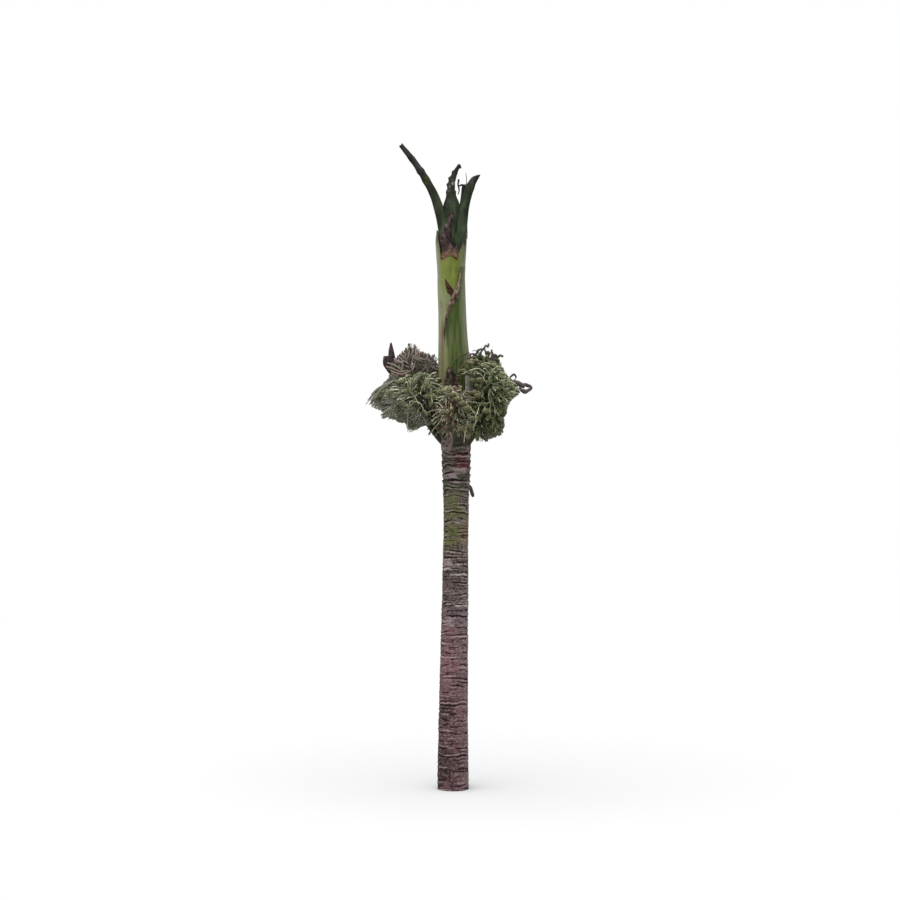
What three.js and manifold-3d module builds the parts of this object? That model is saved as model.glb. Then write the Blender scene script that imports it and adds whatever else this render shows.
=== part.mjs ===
// Carpoxylon palm: a ringed trunk, a crownshaft of two leaf sheaths, cut leaf stalks at its top
// and a whorl of fruit clusters on the bare nodes under it.
// Millimetres and degrees. +Z is up, -Y is the front, and the origin is the centre of the flat
// cut at ground level.

import * as THREE from "three";
import { mergeVertices } from "three/addons/utils/BufferGeometryUtils.js";
import Module from "manifold-3d";

const wasm = await Module();
wasm.setup();

// Driving dimensions

const CLEARANCE = 0.3; // between neighbouring pieces

// The stem's axis bows to the right up the trunk and back to the left up the crownshaft.
const LEAN = { trunk: 26, trunkHeight: 2430, crown: -14, crownHeight: 4100 };

const TRUNK = {
  height: 2690,
  footRadius: 118,
  waistRadius: 96,
  waistHeight: 1970,
  collarRadius: 112,
  collarHeight: 2530, // smooth above this level, where the fruit stems stand
  flarePower: 1.3,
  sides: 12,
};

// Leaf scars ring the trunk, closest together at the waist.
const RINGS = { footPitch: 56, waistPitch: 35, topPitch: 66, groove: 3.5, bulge: 1, bulgeAt: 0.4 };

// A dry scrap of an old leaf base hangs on the trunk's right side.
const FLAP = { height: 2262, drop: 100, reach: 30, halfWidth: 16, halfDepth: 5, steps: 5, sides: 6 };

const SHAFT = {
  waistRadius: 108,
  swell: 17,
  swellHeight: 3080,
  swellSpread: 330,
  flare: 17,
  flareHeight: 3850,
  flareLength: 400,
  wall: 9,
  sides: 20,
  rowPitch: 140,
};

// Slanting rims: height at the axis, and slope up to the right. The inner sheath comes out of the
// outer one and widens to the shaft's full radius above it.
const OUTER_RIM = { height: 3925, slope: 0.4 };
const INNER_RIM = { height: 4229, slope: -0.36 };
const WIDENING = { from: 3990, to: 4030 };

// The leaf stalks stand on the floor of the throat, inside the inner sheath's rim.
const THROAT = { height: 4075 };

// Each sheath is split down its front. The split ends in a point and its edges bow out on the way up:
// x from the shaft's axis, and the level of the bow as a share of the way up.
const OUTER_SPLIT = {
  foot: { x: -4, height: 3685 },
  left: { x: -98, bow: 1.2 },
  right: { x: 96, bow: 0.85 },
  bowAt: 0.41,
};
const INNER_SPLIT = {
  foot: { x: -10, height: THROAT.height },
  left: { x: -92, bow: 1 },
  right: { x: 92, bow: 1 },
  bowAt: 0.2,
};

// The dry rolled edge of the split crosses the front of the shaft: angle from the front, height.
const LIP = {
  route: [[41, 3930], [37, 3880], [30, 3805], [14, 3725], [-8, 3635], [-26, 3535], [-36, 3430], [-34, 3355]],
  halfWidth: 16,
  halfDepth: 4,
  steps: 16,
  sides: 6,
};

// The dry frill that stands on the throat: height, from angle, to angle.
const LIGULE = {
  thickness: 7,
  innerRadius: 88,
  levels: [[4075, -46, 36], [4150, -38, 24], [4205, -47, -3], [4265, -36, -6], [4387, -12, -1]],
};

// Two bracts against the foot of the shaft: height, from angle, to angle, stand-off.
const BRACT_FRONT = {
  thickness: 6,
  levels: [[2760, -40, -2, 0], [2940, -38, -3, 0], [3020, -33, -9, 2], [3105, -22, -19, 8]],
};
const BRACT_SIDE = {
  thickness: 5,
  levels: [[2720, 62, 80, 0], [2920, 64, 80, 10], [3110, 66, 79, 24]],
};
const PLATE_COLUMNS = 4;

// Cut leaf stalks: points of the middle line from the shaft's axis, with half-widths there.
// depth is the outer face's bulge as a share of the half-width, and slant tips the cut end.
const STALKS = [
  {
    name: "stalk_left",
    line: [[-48, -2, 4075], [-60, -8, 4300], [-130, -16, 4545], [-259, -28, 4770], [-400, -40, 4946]],
    halfWidths: [39, 41, 36, 31, 15],
    facing: [0.25, -1, 0],
    depth: 0.75,
    slant: 0.6,
  },
  {
    name: "stalk_right",
    line: [[48, -22, 4075], [82, -26, 4320], [124, -32, 4490], [162, -38, 4620], [205, -44, 4706]],
    halfWidths: [35, 34, 28, 23, 14],
    facing: [-0.3, -1, 0],
    depth: 0.75,
    slant: -0.9,
  },
  {
    name: "stalk_back",
    line: [[24, 56, 4075], [48, 62, 4300], [84, 62, 4500], [104, 58, 4655]],
    halfWidths: [41, 34, 24, 20],
    facing: [0, 1, 0],
    depth: 0.62,
    slant: 0.5,
  },
  {
    name: "spear",
    line: [[2, -8, 4075], [8, -8, 4290], [4, -8, 4480], [-2, -10, 4630], [28, -12, 4740], [66, -12, 4794]],
    halfWidths: [8.5, 24, 45, 27, 17, 6],
    facing: [0, -1, 0],
    depth: 0.5,
    slant: 0.3,
  },
];
const STALK = { sides: 10, stepsPerPoint: 3, innerDepth: 0.35 };

// Fruit clusters: azimuth from +X, half-angle of the space each keeps to, furthest reach from the
// axis, lowest and highest levels, angles between which the boughs fan out in the cluster's upright
// plane, and seed.
const CLUSTERS = [
  { side: "front", azimuth: 268, half: 23, reach: 400, levels: [2580, 2985], fan: [-85, 100], seed: 11 },
  { side: "front_right", azimuth: 316, half: 22, reach: 560, levels: [2565, 3180], fan: [-80, 95], seed: 25 },
  { side: "right", azimuth: 0, half: 20, reach: 590, levels: [2620, 3345], fan: [-75, 125], seed: 30 },
  { side: "back_right", azimuth: 46, half: 22, reach: 590, levels: [2600, 3300], fan: [-80, 120], seed: 24 },
  { side: "back", azimuth: 92, half: 21, reach: 540, levels: [2590, 3200], fan: [-80, 110], seed: 15 },
  { side: "back_left", azimuth: 136, half: 20, reach: 610, levels: [2630, 3330], fan: [-80, 120], seed: 16 },
  { side: "left", azimuth: 178, half: 19, reach: 684, levels: [2650, 3350], fan: [-75, 120], seed: 27 },
  { side: "front_left", azimuth: 221, half: 21, reach: 600, levels: [2640, 3080], fan: [-85, 95], seed: 32 },
];

// A pointed bract stands out of one cluster: its tip's angle, side and size in that cluster.
const SPIKE = { cluster: "left", tip: [66, -4, 1.1], root: 0.97, radius: 20, tipRadius: 1 };

const CLUSTER = {
  footHeights: [2574, 2606], // of the stems, in turn round the trunk
  depthShare: 0.5, // radial half-depth of a cluster as a share of its reach
  shaftGap: 5,
  sides: 4, // of boughs, twigs and fruits
};
const STEM = { radius: 30, tipRadius: 14, sides: 7, steps: 5, bendOut: 0.62, bendUp: 0.25, endDrop: 0.1 };
const BOUGH = {
  count: 7, // on each stem
  radius: 12,
  tipRadius: 6,
  steps: 2,
  firstRoot: 0.5, // along the stem
  wander: 10, // of the fan's angles
  size: 0.76, // from the middle of the mass to its surface
  side: 0.55, // of the half-angle
  bendAt: 0.55,
  lift: 0.14,
};
const TWIG = {
  count: 2, // on each bough
  radius: 9, // a bundle of fine flowering twigs
  tipRadius: 6,
  roots: [0.35, 0.85], // along the bough
  sizes: [0.48, 0.8],
  turn: 24,
  sides: [1, -0.3], // across the bough's plane and back, of the reach below
  sideReach: 0.5, // of the half-angle
};

// A fruit's outline along its length: share of the length, share of the radius.
const FRUIT = { length: 78, radius: 31, droop: 0.35, outline: [[0.22, 0.85], [0.62, 1], [1, 0.35]] };

// Colours with roughness

const MATERIALS = {
  bark: new THREE.MeshStandardMaterial({ color: 0x6b5759, roughness: 0.95, metalness: 0 }),
  sheath: new THREE.MeshStandardMaterial({ color: 0x79805a, roughness: 0.6, metalness: 0 }),
  young_sheath: new THREE.MeshStandardMaterial({ color: 0x747d35, roughness: 0.5, metalness: 0 }),
  stalk: new THREE.MeshStandardMaterial({ color: 0x3e4637, roughness: 0.6, metalness: 0 }),
  dry_husk: new THREE.MeshStandardMaterial({ color: 0x5a4340, roughness: 0.9, metalness: 0 }),
  pale_husk: new THREE.MeshStandardMaterial({ color: 0x8e8f86, roughness: 0.9, metalness: 0 }),
  fruit: new THREE.MeshStandardMaterial({ color: 0x5b603f, roughness: 0.55, metalness: 0 }),
};

// Small maths

const { lerp, degToRad, radToDeg, smoothstep, clamp, euclideanModulo } = THREE.MathUtils;
const vector = (x, y, z) => new THREE.Vector3(x, y, z);

function axisX(z) {
  const crown = smoothstep(z, LEAN.trunkHeight, LEAN.crownHeight);
  return LEAN.trunk * smoothstep(z, 0, LEAN.trunkHeight) + (LEAN.crown - LEAN.trunk) * crown;
}

// A point at a radius and an azimuth round the stem's axis.
function around(radius, azimuth, z) {
  const turn = degToRad(azimuth);
  return vector(axisX(z) + radius * Math.cos(turn), radius * Math.sin(turn), z);
}

// The same, with the angle counted from the front, to the right as seen from there.
const fromFront = (radius, angle, z) => around(radius, angle - 90, z);

// A seeded source of numbers from 0 to 1.
function randomFrom(seed) {
  let state = seed >>> 0;
  return () => {
    state = (state + 0x6d2b79f5) >>> 0;
    let mixed = Math.imul(state ^ (state >>> 15), state | 1);
    mixed ^= mixed + Math.imul(mixed ^ (mixed >>> 7), mixed | 61);
    return ((mixed ^ (mixed >>> 14)) >>> 0) / 2 ** 32;
  };
}

// Solids

function geometryFrom(points, triangles) {
  const geometry = new THREE.BufferGeometry().setFromPoints(points);
  geometry.setIndex(triangles);
  return geometry;
}

// A closed solid through rings that all have the same number of points. Its flat ends are closed
// by a strip of triangles between the two halves of the ring, which suits round and curved ends.
function loft(rings) {
  const sides = rings[0].length;
  const last = (rings.length - 1) * sides;
  const triangles = [];
  for (let row = 0; row < last; row += sides) {
    for (let side = 0; side < sides; side++) {
      const next = (side + 1) % sides;
      triangles.push(row + side, row + next, row + sides + next);
      triangles.push(row + side, row + sides + next, row + sides + side);
    }
  }
  const closeEnds = (a, b, c) => triangles.push(a, c, b, last + a, last + b, last + c);
  for (let from = 0, to = sides - 1; to - from > 1; from++, to--) {
    closeEnds(from, from + 1, to);
    if (to - from > 2) closeEnds(from + 1, to - 1, to);
  }
  return geometryFrom(rings.flat(), triangles);
}

// A solid of round rings about the stem's axis, from rows of [height, radius].
function turned(rows, sides) {
  const ring = ([z, radius]) =>
    Array.from({ length: sides }, (_, side) => around(radius, (360 * side) / sides, z));
  return loft(rows.map(ring));
}

// The rings of a limb along a curve. section(t, turn) gives a point of its outline across, over
// and along the limb. A level foot is cut flat instead of square to the curve.
function limbRings(curve, steps, sides, facing, section, levelFoot = false) {
  const rings = [];
  for (let step = 0; step <= steps; step++) {
    const t = step / steps;
    const centre = curve.getPoint(t);
    const along = curve.getTangent(t);
    const over = facing.clone().addScaledVector(along, -facing.dot(along)).normalize();
    const across = vector(0, 0, 0).crossVectors(over, along);
    const ring = [];
    for (let side = 0; side < sides; side++) {
      const [a, o, forward = 0] = section(t, (2 * Math.PI * side) / sides);
      const point = centre.clone().addScaledVector(across, a).addScaledVector(over, o);
      point.addScaledVector(along, forward);
      if (levelFoot && step === 0) point.addScaledVector(along, (centre.z - point.z) / along.z);
      ring.push(point);
    }
    rings.push(ring);
  }
  return rings;
}

// The rings of a round tapering limb.
function roundRings(curve, steps, sides, radius, tipRadius) {
  const chord = curve.getPoint(1).sub(curve.getPoint(0)).normalize();
  const facing = Math.abs(chord.z) < 0.8 ? vector(0, 0, 1) : vector(1, 0, 0);
  return limbRings(curve, steps, sides, facing, (t, turn) => {
    const size = lerp(radius, tipRadius, t);
    return [size * Math.cos(turn), size * Math.sin(turn)];
  });
}

// A thin curved plate about the axis. Each level gives height, two angles and the inner radius.
function curvedPlate(levels, thickness) {
  const ring = ([z, from, to, radius]) => {
    const angle = (_, column) => lerp(from, to, column / PLATE_COLUMNS);
    const angles = Array.from({ length: PLATE_COLUMNS + 1 }, angle);
    const outside = angles.map((turn) => fromFront(radius + thickness, turn, z));
    const inside = angles.map((turn) => fromFront(radius, turn, z));
    return [...outside, ...inside.reverse()];
  };
  return loft(levels.map(ring));
}

function solidFrom(geometry) {
  const bare = geometry.clone();
  bare.deleteAttribute("normal");
  bare.deleteAttribute("uv");
  const merged = mergeVertices(bare, 1e-3);
  const mesh = new wasm.Mesh({
    numProp: 3,
    vertProperties: merged.attributes.position.array,
    triVerts: new Uint32Array(merged.index.array),
  });
  return new wasm.Manifold(mesh);
}

function geometryOf(solid) {
  const mesh = solid.getMesh();
  const geometry = new THREE.BufferGeometry();
  geometry.setAttribute("position", new THREE.BufferAttribute(mesh.vertProperties, 3));
  geometry.setIndex(new THREE.BufferAttribute(mesh.triVerts, 1));
  return geometry;
}

// All the geometries joined. A scrap that meets nothing else, or a sealed hollow, is left out.
function fused(geometries) {
  const joined = wasm.Manifold.union(geometries.map(solidFrom));
  return joined.decompose().reduce((most, body) => (body.volume() > most.volume() ? body : most));
}

const palm = new THREE.Group();
palm.name = "carpoxylon_palm";

function addPiece(name, geometry, material) {
  const mesh = new THREE.Mesh(geometry, MATERIALS[material]);
  mesh.name = name;
  palm.add(mesh);
}

// Trunk

function trunkRadius(z) {
  const flare = Math.pow(clamp(1 - z / TRUNK.waistHeight, 0, 1), TRUNK.flarePower);
  const collar = smoothstep(z, TRUNK.waistHeight, TRUNK.collarHeight);
  return (
    TRUNK.waistRadius +
    (TRUNK.footRadius - TRUNK.waistRadius) * flare +
    (TRUNK.collarRadius - TRUNK.waistRadius) * collar
  );
}

function ringPitch(z) {
  if (z < TRUNK.waistHeight) return lerp(RINGS.footPitch, RINGS.waistPitch, z / TRUNK.waistHeight);
  const share = (z - TRUNK.waistHeight) / (TRUNK.height - TRUNK.waistHeight);
  return lerp(RINGS.waistPitch, RINGS.topPitch, share);
}

function trunkRows() {
  const rows = [[0, TRUNK.footRadius]];
  for (let z = ringPitch(0) / 2; z < TRUNK.collarHeight - ringPitch(z); z += ringPitch(z)) {
    rows.push([z, trunkRadius(z) - RINGS.groove]);
    const bulge = z + RINGS.bulgeAt * ringPitch(z);
    rows.push([bulge, trunkRadius(bulge) + RINGS.bulge]);
  }
  rows.push([TRUNK.collarHeight, TRUNK.collarRadius], [TRUNK.height, TRUNK.collarRadius]);
  return rows;
}

function leafBaseFlap() {
  const edge = axisX(FLAP.height) + trunkRadius(FLAP.height);
  const curve = new THREE.CatmullRomCurve3([
    vector(edge - FLAP.reach, 0, FLAP.height + FLAP.reach / 2),
    vector(edge + FLAP.reach / 3, 0, FLAP.height - FLAP.drop / 3),
    vector(edge + FLAP.reach, 0, FLAP.height - FLAP.drop),
  ]);
  const section = (t, turn) => {
    const taper = 1 - t / 2;
    return [FLAP.halfWidth * taper * Math.cos(turn), FLAP.halfDepth * Math.sin(turn)];
  };
  return loft(limbRings(curve, FLAP.steps, FLAP.sides, vector(0, 0, 1), section));
}

const trunk = fused([turned(trunkRows(), TRUNK.sides), leafBaseFlap()]);
addPiece("trunk", geometryOf(trunk), "bark");

// Crownshaft

function shaftRadius(z) {
  const swell = Math.exp(-(((z - SHAFT.swellHeight) / SHAFT.swellSpread) ** 2));
  const flare = smoothstep(z, SHAFT.flareHeight, SHAFT.flareHeight + SHAFT.flareLength);
  return SHAFT.waistRadius + SHAFT.swell * swell + SHAFT.flare * flare;
}

const SHAFT_FOOT = TRUNK.height + CLEARANCE;
const SHAFT_TOP = INNER_RIM.height + SHAFT.waistRadius; // before the rims are cut

// Rows of the shaft's outline, taken in by a margin, between two heights.
function shaftRows(margin, from = SHAFT_FOOT, to = SHAFT_TOP) {
  const levels = [];
  for (let z = SHAFT_FOOT; z < SHAFT_TOP; z += SHAFT.rowPitch) levels.push(z);
  const kept = [...levels, SHAFT_TOP].filter((z) => z >= from && z <= to);
  return kept.map((z) => [z, shaftRadius(z) - margin]);
}

// What the split takes out of the front of a sheath.
function splitCutter({ foot, left, right, bowAt }) {
  const axis = axisX(foot.height);
  const rise = lerp(foot.height, SHAFT_TOP, bowAt);
  const outline = new THREE.Shape();
  outline.moveTo(axis + foot.x, foot.height);
  outline.quadraticCurveTo(axis + right.x * right.bow, rise, axis + right.x, SHAFT_TOP);
  outline.lineTo(axis + left.x, SHAFT_TOP);
  outline.quadraticCurveTo(axis + left.x * left.bow, rise, axis + foot.x, foot.height);
  const options = { depth: 2 * SHAFT.waistRadius, bevelEnabled: false, curveSegments: 6 };
  return solidFrom(new THREE.ExtrudeGeometry(outline, options).rotateX(Math.PI / 2));
}

// What a slanting rim takes off the top of a sheath.
function rimCutter({ height, slope }) {
  const size = 8 * SHAFT.waistRadius;
  const block = new THREE.BoxGeometry(size, size, size).translate(0, 0, size / 2);
  return solidFrom(block.rotateY(-Math.atan(slope)).translate(axisX(height), 0, height));
}

function outerSheath() {
  const outside = solidFrom(turned(shaftRows(0), SHAFT.sides));
  const ends = [0, 2 * SHAFT_TOP].map((z) => [z, SHAFT.waistRadius]);
  const bore = [ends[0], ...shaftRows(SHAFT.wall), ends[1]];
  const tube = outside.subtract(solidFrom(turned(bore, SHAFT.sides)));
  return tube.subtract(rimCutter(OUTER_RIM)).subtract(splitCutter(OUTER_SPLIT));
}

// The inner sheath fills the outer one, and its hollow top is the throat.
function innerSheath() {
  const slim = shaftRows(SHAFT.wall + CLEARANCE, SHAFT_FOOT, WIDENING.from);
  const turning = [
    [WIDENING.from, shaftRadius(WIDENING.from) - SHAFT.wall - CLEARANCE],
    [WIDENING.to, shaftRadius(WIDENING.to)],
  ];
  const outside = [...slim, ...turning, ...shaftRows(0, WIDENING.to)];
  const hollow = [
    [THROAT.height, shaftRadius(THROAT.height) - SHAFT.wall],
    ...shaftRows(SHAFT.wall, THROAT.height),
    [SHAFT_TOP + SHAFT.rowPitch, shaftRadius(SHAFT_TOP) - SHAFT.wall],
  ];
  const throat = solidFrom(turned(hollow, SHAFT.sides));
  const open = solidFrom(turned(outside, SHAFT.sides)).subtract(throat);
  return open.subtract(rimCutter(INNER_RIM)).subtract(splitCutter(INNER_SPLIT));
}

// The shaft with the clearance round it, which the pieces that lie against it are cut to.
const shaftSeat = solidFrom(turned(shaftRows(-CLEARANCE), SHAFT.sides));

function sheathLip() {
  const seat = ([angle, z]) => fromFront(shaftRadius(z), angle, z);
  const curve = new THREE.CatmullRomCurve3(LIP.route.map(seat));
  const section = (t, turn) => {
    const swell = 0.25 + 0.75 * Math.sin(Math.PI * t);
    return [LIP.halfWidth * swell * Math.cos(turn), LIP.halfDepth * swell * Math.sin(turn)];
  };
  return loft(limbRings(curve, LIP.steps, LIP.sides, vector(0, -1, 0), section));
}

addPiece("inner_sheath", geometryOf(innerSheath()), "young_sheath");
addPiece("outer_sheath", geometryOf(outerSheath()), "sheath");
addPiece("sheath_lip", geometryOf(solidFrom(sheathLip()).subtract(shaftSeat)), "dry_husk");

// Dry husks: the frill in the throat and two bracts against the foot of the shaft

function bract({ levels, thickness }) {
  const seat = ([z, from, to, standOff]) => [z, from, to, shaftRadius(z) + standOff];
  return solidFrom(curvedPlate(levels.map(seat), thickness)).subtract(shaftSeat);
}

const bracts = [bract(BRACT_FRONT), bract(BRACT_SIDE)];
const liguleLevels = LIGULE.levels.map(([z, from, to]) => [z + CLEARANCE, from, to, LIGULE.innerRadius]);
addPiece("ligule", curvedPlate(liguleLevels, LIGULE.thickness), "dry_husk");
addPiece("bract_front", geometryOf(bracts[0]), "dry_husk");
addPiece("bract_side", geometryOf(bracts[1]), "pale_husk");

// Leaf stalks

// A value between the entries of a list, at a share of its length.
function along(list, t) {
  const place = t * (list.length - 1);
  const index = Math.min(Math.floor(place), list.length - 2);
  return lerp(list[index], list[index + 1], place - index);
}

function stalk({ line, halfWidths, facing, depth, slant }) {
  const lift = vector(axisX(THROAT.height), 0, CLEARANCE);
  const curve = new THREE.CatmullRomCurve3(line.map((point) => vector(...point).add(lift)));
  const steps = STALK.stepsPerPoint * (line.length - 1);
  const section = (t, turn) => {
    const half = along(halfWidths, t);
    const bulge = half * (Math.sin(turn) > 0 ? depth : STALK.innerDepth);
    const cut = t === 1 ? slant * half * Math.cos(turn) : 0;
    return [half * Math.cos(turn), bulge * Math.sin(turn), cut];
  };
  return loft(limbRings(curve, steps, STALK.sides, vector(...facing), section, true));
}

STALKS.forEach((entry) => addPiece(entry.name, stalk(entry), "stalk"));

// Fruit clusters

// The cluster's space: a rounded mass inside a wedge of azimuth, clear of the shaft.
function clusterSpace({ azimuth, half, reach, levels: [low, high] }) {
  const depth = CLUSTER.depthShare * reach;
  const middle = { radius: reach - depth, z: (low + high) / 2 };
  const rise = (high - low) / 2;
  const holds = (point, margin) => {
    const x = point.x - axisX(point.z);
    const radius = Math.hypot(x, point.y);
    const turn = radToDeg(Math.atan2(point.y, x)) - azimuth;
    const side = Math.abs(euclideanModulo(turn + 180, 360) - 180);
    const room = radius * Math.sin(degToRad(half - side));
    const inner = Math.max(TRUNK.collarRadius, shaftRadius(point.z)) + CLUSTER.shaftGap;
    const out = Math.max((radius + margin - middle.radius) / depth, 0);
    const up = (Math.abs(point.z - middle.z) + margin) / rise;
    return side < half && room > margin && radius - margin > inner && out ** 2 + up ** 2 < 1;
  };
  // A point at an angle and a share of the way from the middle to the surface of the mass.
  const aim = (angle, side, size) => {
    const turn = degToRad(angle);
    const radius = middle.radius + depth * size * Math.cos(turn);
    return around(radius, azimuth + side, middle.z + rise * size * Math.sin(turn));
  };
  return { middle, aim, holds };
}

function stemCurve({ azimuth }, { middle, aim }, foot) {
  return new THREE.QuadraticBezierCurve3(
    around(TRUNK.collarRadius / 2, azimuth, foot - STEM.radius),
    around(middle.radius * STEM.bendOut, azimuth, lerp(foot, middle.z, STEM.bendUp)),
    aim(-90, 0, STEM.endDrop),
  );
}

// A number near a middle value, by at most a share of it.
const near = (middle, share, random) => middle * (1 + share * (2 * random() - 1));

// Boughs leave the outer half of the stem and fan out towards the surface of the mass.
function boughsOf({ half, fan }, { aim }, stem, random) {
  return Array.from({ length: BOUGH.count }, (_, index) => {
    const share = index / (BOUGH.count - 1);
    const angle = lerp(...fan, share) + BOUGH.wander * (random() - 0.5);
    const side = (index % 2 ? 1 : -1) * half * BOUGH.side * near(0.675, 0.48, random);
    const tip = aim(angle, side, near(BOUGH.size, 0.08, random));
    const start = stem.getPoint(lerp(1, BOUGH.firstRoot, Math.abs(2 * share - 1)));
    const bend = start.clone().lerp(tip, BOUGH.bendAt);
    bend.z += BOUGH.lift * start.distanceTo(tip);
    return { angle, side, curve: new THREE.QuadraticBezierCurve3(start, bend, tip) };
  });
}

// Twigs leave a bough in turn below and above, and to either side.
function twigsOf({ half }, { aim }, bough, random) {
  return Array.from({ length: TWIG.count }, (_, index) => {
    const share = index / (TWIG.count - 1);
    const start = bough.curve.getPoint(lerp(...TWIG.roots, share));
    const angle = bough.angle + (index % 2 ? 1 : -1) * near(0.75 * TWIG.turn, 0.33, random);
    const across = -Math.sign(bough.side) * TWIG.sides[index % 2] * TWIG.sideReach * random();
    const size = near(lerp(...TWIG.sizes, share), 0.1, random);
    return new THREE.LineCurve3(start, aim(angle, bough.side + half * across, size));
  });
}

// Rings that carry a limb on into an egg-shaped fruit which hangs from its end.
function fruitRings(curve, lastRing) {
  const end = curve.getPoint(1);
  const way = curve.getTangent(1).add(vector(0, 0, -FRUIT.droop)).normalize();
  return FRUIT.outline.map(([share, size]) => {
    const middle = end.clone().addScaledVector(way, share * FRUIT.length);
    return lastRing.map((point) => point.clone().sub(end).setLength(size * FRUIT.radius).add(middle));
  });
}

// Whether every corner of a piece lies in the cluster's space, clear of the bracts.
function fits(geometry, space) {
  const corners = geometry.attributes.position;
  for (let index = 0; index < corners.count; index++) {
    if (!space.holds(vector(0, 0, 0).fromBufferAttribute(corners, index), CLEARANCE)) return false;
  }
  const solid = solidFrom(geometry);
  return bracts.every((husk) => solid.intersect(husk).isEmpty());
}

// A limb with a fruit at its end where there is room for one, bare where there isn't.
function bearingLimb(curve, steps, radius, tipRadius, space) {
  const rings = roundRings(curve, steps, CLUSTER.sides, radius, tipRadius);
  const limbs = [loft([...rings, ...fruitRings(curve, rings.at(-1))]), loft(rings)];
  return limbs.find((geometry) => fits(geometry, space));
}

function cluster(spec, index) {
  const random = randomFrom(spec.seed);
  const space = clusterSpace(spec);
  const stem = stemCurve(spec, space, CLUSTER.footHeights[index % 2]);
  const pieces = [loft(roundRings(stem, STEM.steps, STEM.sides, STEM.radius, STEM.tipRadius))];
  for (const bough of boughsOf(spec, space, stem, random)) {
    const twigs = twigsOf(spec, space, bough, random);
    const branch = bearingLimb(bough.curve, BOUGH.steps, BOUGH.radius, BOUGH.tipRadius, space);
    if (!branch) continue;
    const sprays = twigs.map((twig) => bearingLimb(twig, 1, TWIG.radius, TWIG.tipRadius, space));
    pieces.push(branch, ...sprays.filter(Boolean));
  }
  if (spec.side === SPIKE.cluster) {
    const line = new THREE.LineCurve3(stem.getPoint(SPIKE.root), space.aim(...SPIKE.tip));
    pieces.push(loft(roundRings(line, 1, CLUSTER.sides, SPIKE.radius, SPIKE.tipRadius)));
  }
  return fused(pieces).subtract(stemSeat);
}

// The trunk with the clearance round it, which the fruit stems are cut to.
const seatRows = trunkRows().map(([z, radius]) => [z, radius + CLEARANCE]);
const stemSeat = solidFrom(turned(seatRows, TRUNK.sides));

CLUSTERS.forEach((spec, index) => {
  addPiece(`cluster_${spec.side}`, geometryOf(cluster(spec, index)), "fruit");
});

export default palm;
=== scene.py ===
"""Looks of a carpoxylon palm: bark, leaf sheaths, cut stalks and fruit, built round its solids.

Sizes are in millimetres and degrees, as in the solids, and become metres where a mesh is made.
"""

import itertools
import math
from types import SimpleNamespace as Sizes

import bpy
import numpy as np
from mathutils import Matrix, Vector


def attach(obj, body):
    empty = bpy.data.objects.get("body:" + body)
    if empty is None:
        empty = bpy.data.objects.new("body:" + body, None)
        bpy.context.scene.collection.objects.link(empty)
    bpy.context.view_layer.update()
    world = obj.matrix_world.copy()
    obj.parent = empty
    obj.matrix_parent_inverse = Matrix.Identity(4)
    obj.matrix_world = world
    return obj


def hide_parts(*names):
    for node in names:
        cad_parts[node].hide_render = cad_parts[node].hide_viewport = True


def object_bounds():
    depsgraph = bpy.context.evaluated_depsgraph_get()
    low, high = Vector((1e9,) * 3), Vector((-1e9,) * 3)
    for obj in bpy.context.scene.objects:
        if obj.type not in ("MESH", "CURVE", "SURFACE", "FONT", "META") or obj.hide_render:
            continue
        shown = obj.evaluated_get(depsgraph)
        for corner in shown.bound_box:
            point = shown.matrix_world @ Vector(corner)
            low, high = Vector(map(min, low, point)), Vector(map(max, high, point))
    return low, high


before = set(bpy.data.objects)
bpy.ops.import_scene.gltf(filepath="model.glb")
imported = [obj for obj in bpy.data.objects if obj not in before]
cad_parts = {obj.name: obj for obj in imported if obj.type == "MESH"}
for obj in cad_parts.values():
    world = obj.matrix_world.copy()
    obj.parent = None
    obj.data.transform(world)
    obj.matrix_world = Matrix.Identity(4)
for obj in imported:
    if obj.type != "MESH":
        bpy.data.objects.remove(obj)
cad_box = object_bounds()

MM = 0.001
WORD = 0xFFFFFFFF
UP = np.array([0.0, 0.0, 1.0])
FRONT = (0, -1, 0)
GOLDEN_ANGLE = 137.5

# Dimensions shared with the solids

LEAN = Sizes(trunk=26, trunk_height=2430, crown=-14, crown_height=4100)
TRUNK = Sizes(
    height=2690,
    foot_radius=118,
    waist_radius=96,
    waist_height=1970,
    collar_radius=112,
    collar_height=2530,
    flare_power=1.3,
)
RINGS = Sizes(foot_pitch=56, waist_pitch=35, top_pitch=66)
FLAP = Sizes(height=2262, drop=100, reach=30, half_width=16)
SHAFT = Sizes(
    waist_radius=108,
    swell=17,
    swell_height=3080,
    swell_spread=330,
    flare=17,
    flare_levels=(3850, 4250),
    top=4337,
    wall=9,
)
THROAT_HEIGHT = 4075
SPLIT = Sizes(foot_x=-4, foot_height=3685, left_x=-98, left_bow=1.2, bow_at=0.41)
CLUSTERS = [
    Sizes(side="front", azimuth=268, half=23, reach=400, levels=(2580, 2985), fan=(-85, 100), seed=11),
    Sizes(side="front_right", azimuth=316, half=22, reach=560, levels=(2565, 3180), fan=(-80, 95), seed=25),
    Sizes(side="right", azimuth=0, half=20, reach=590, levels=(2620, 3345), fan=(-75, 125), seed=30),
    Sizes(side="back_right", azimuth=46, half=22, reach=590, levels=(2600, 3300), fan=(-80, 120), seed=24),
    Sizes(side="back", azimuth=92, half=21, reach=540, levels=(2590, 3200), fan=(-80, 110), seed=15),
    Sizes(side="back_left", azimuth=136, half=20, reach=610, levels=(2630, 3330), fan=(-80, 120), seed=16),
    Sizes(side="left", azimuth=178, half=19, reach=684, levels=(2650, 3350), fan=(-75, 120), seed=27),
    Sizes(side="front_left", azimuth=221, half=21, reach=600, levels=(2640, 3080), fan=(-85, 95), seed=32),
]
SPIKE = Sizes(cluster="left", tip=(66, -4, 1.06))
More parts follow.
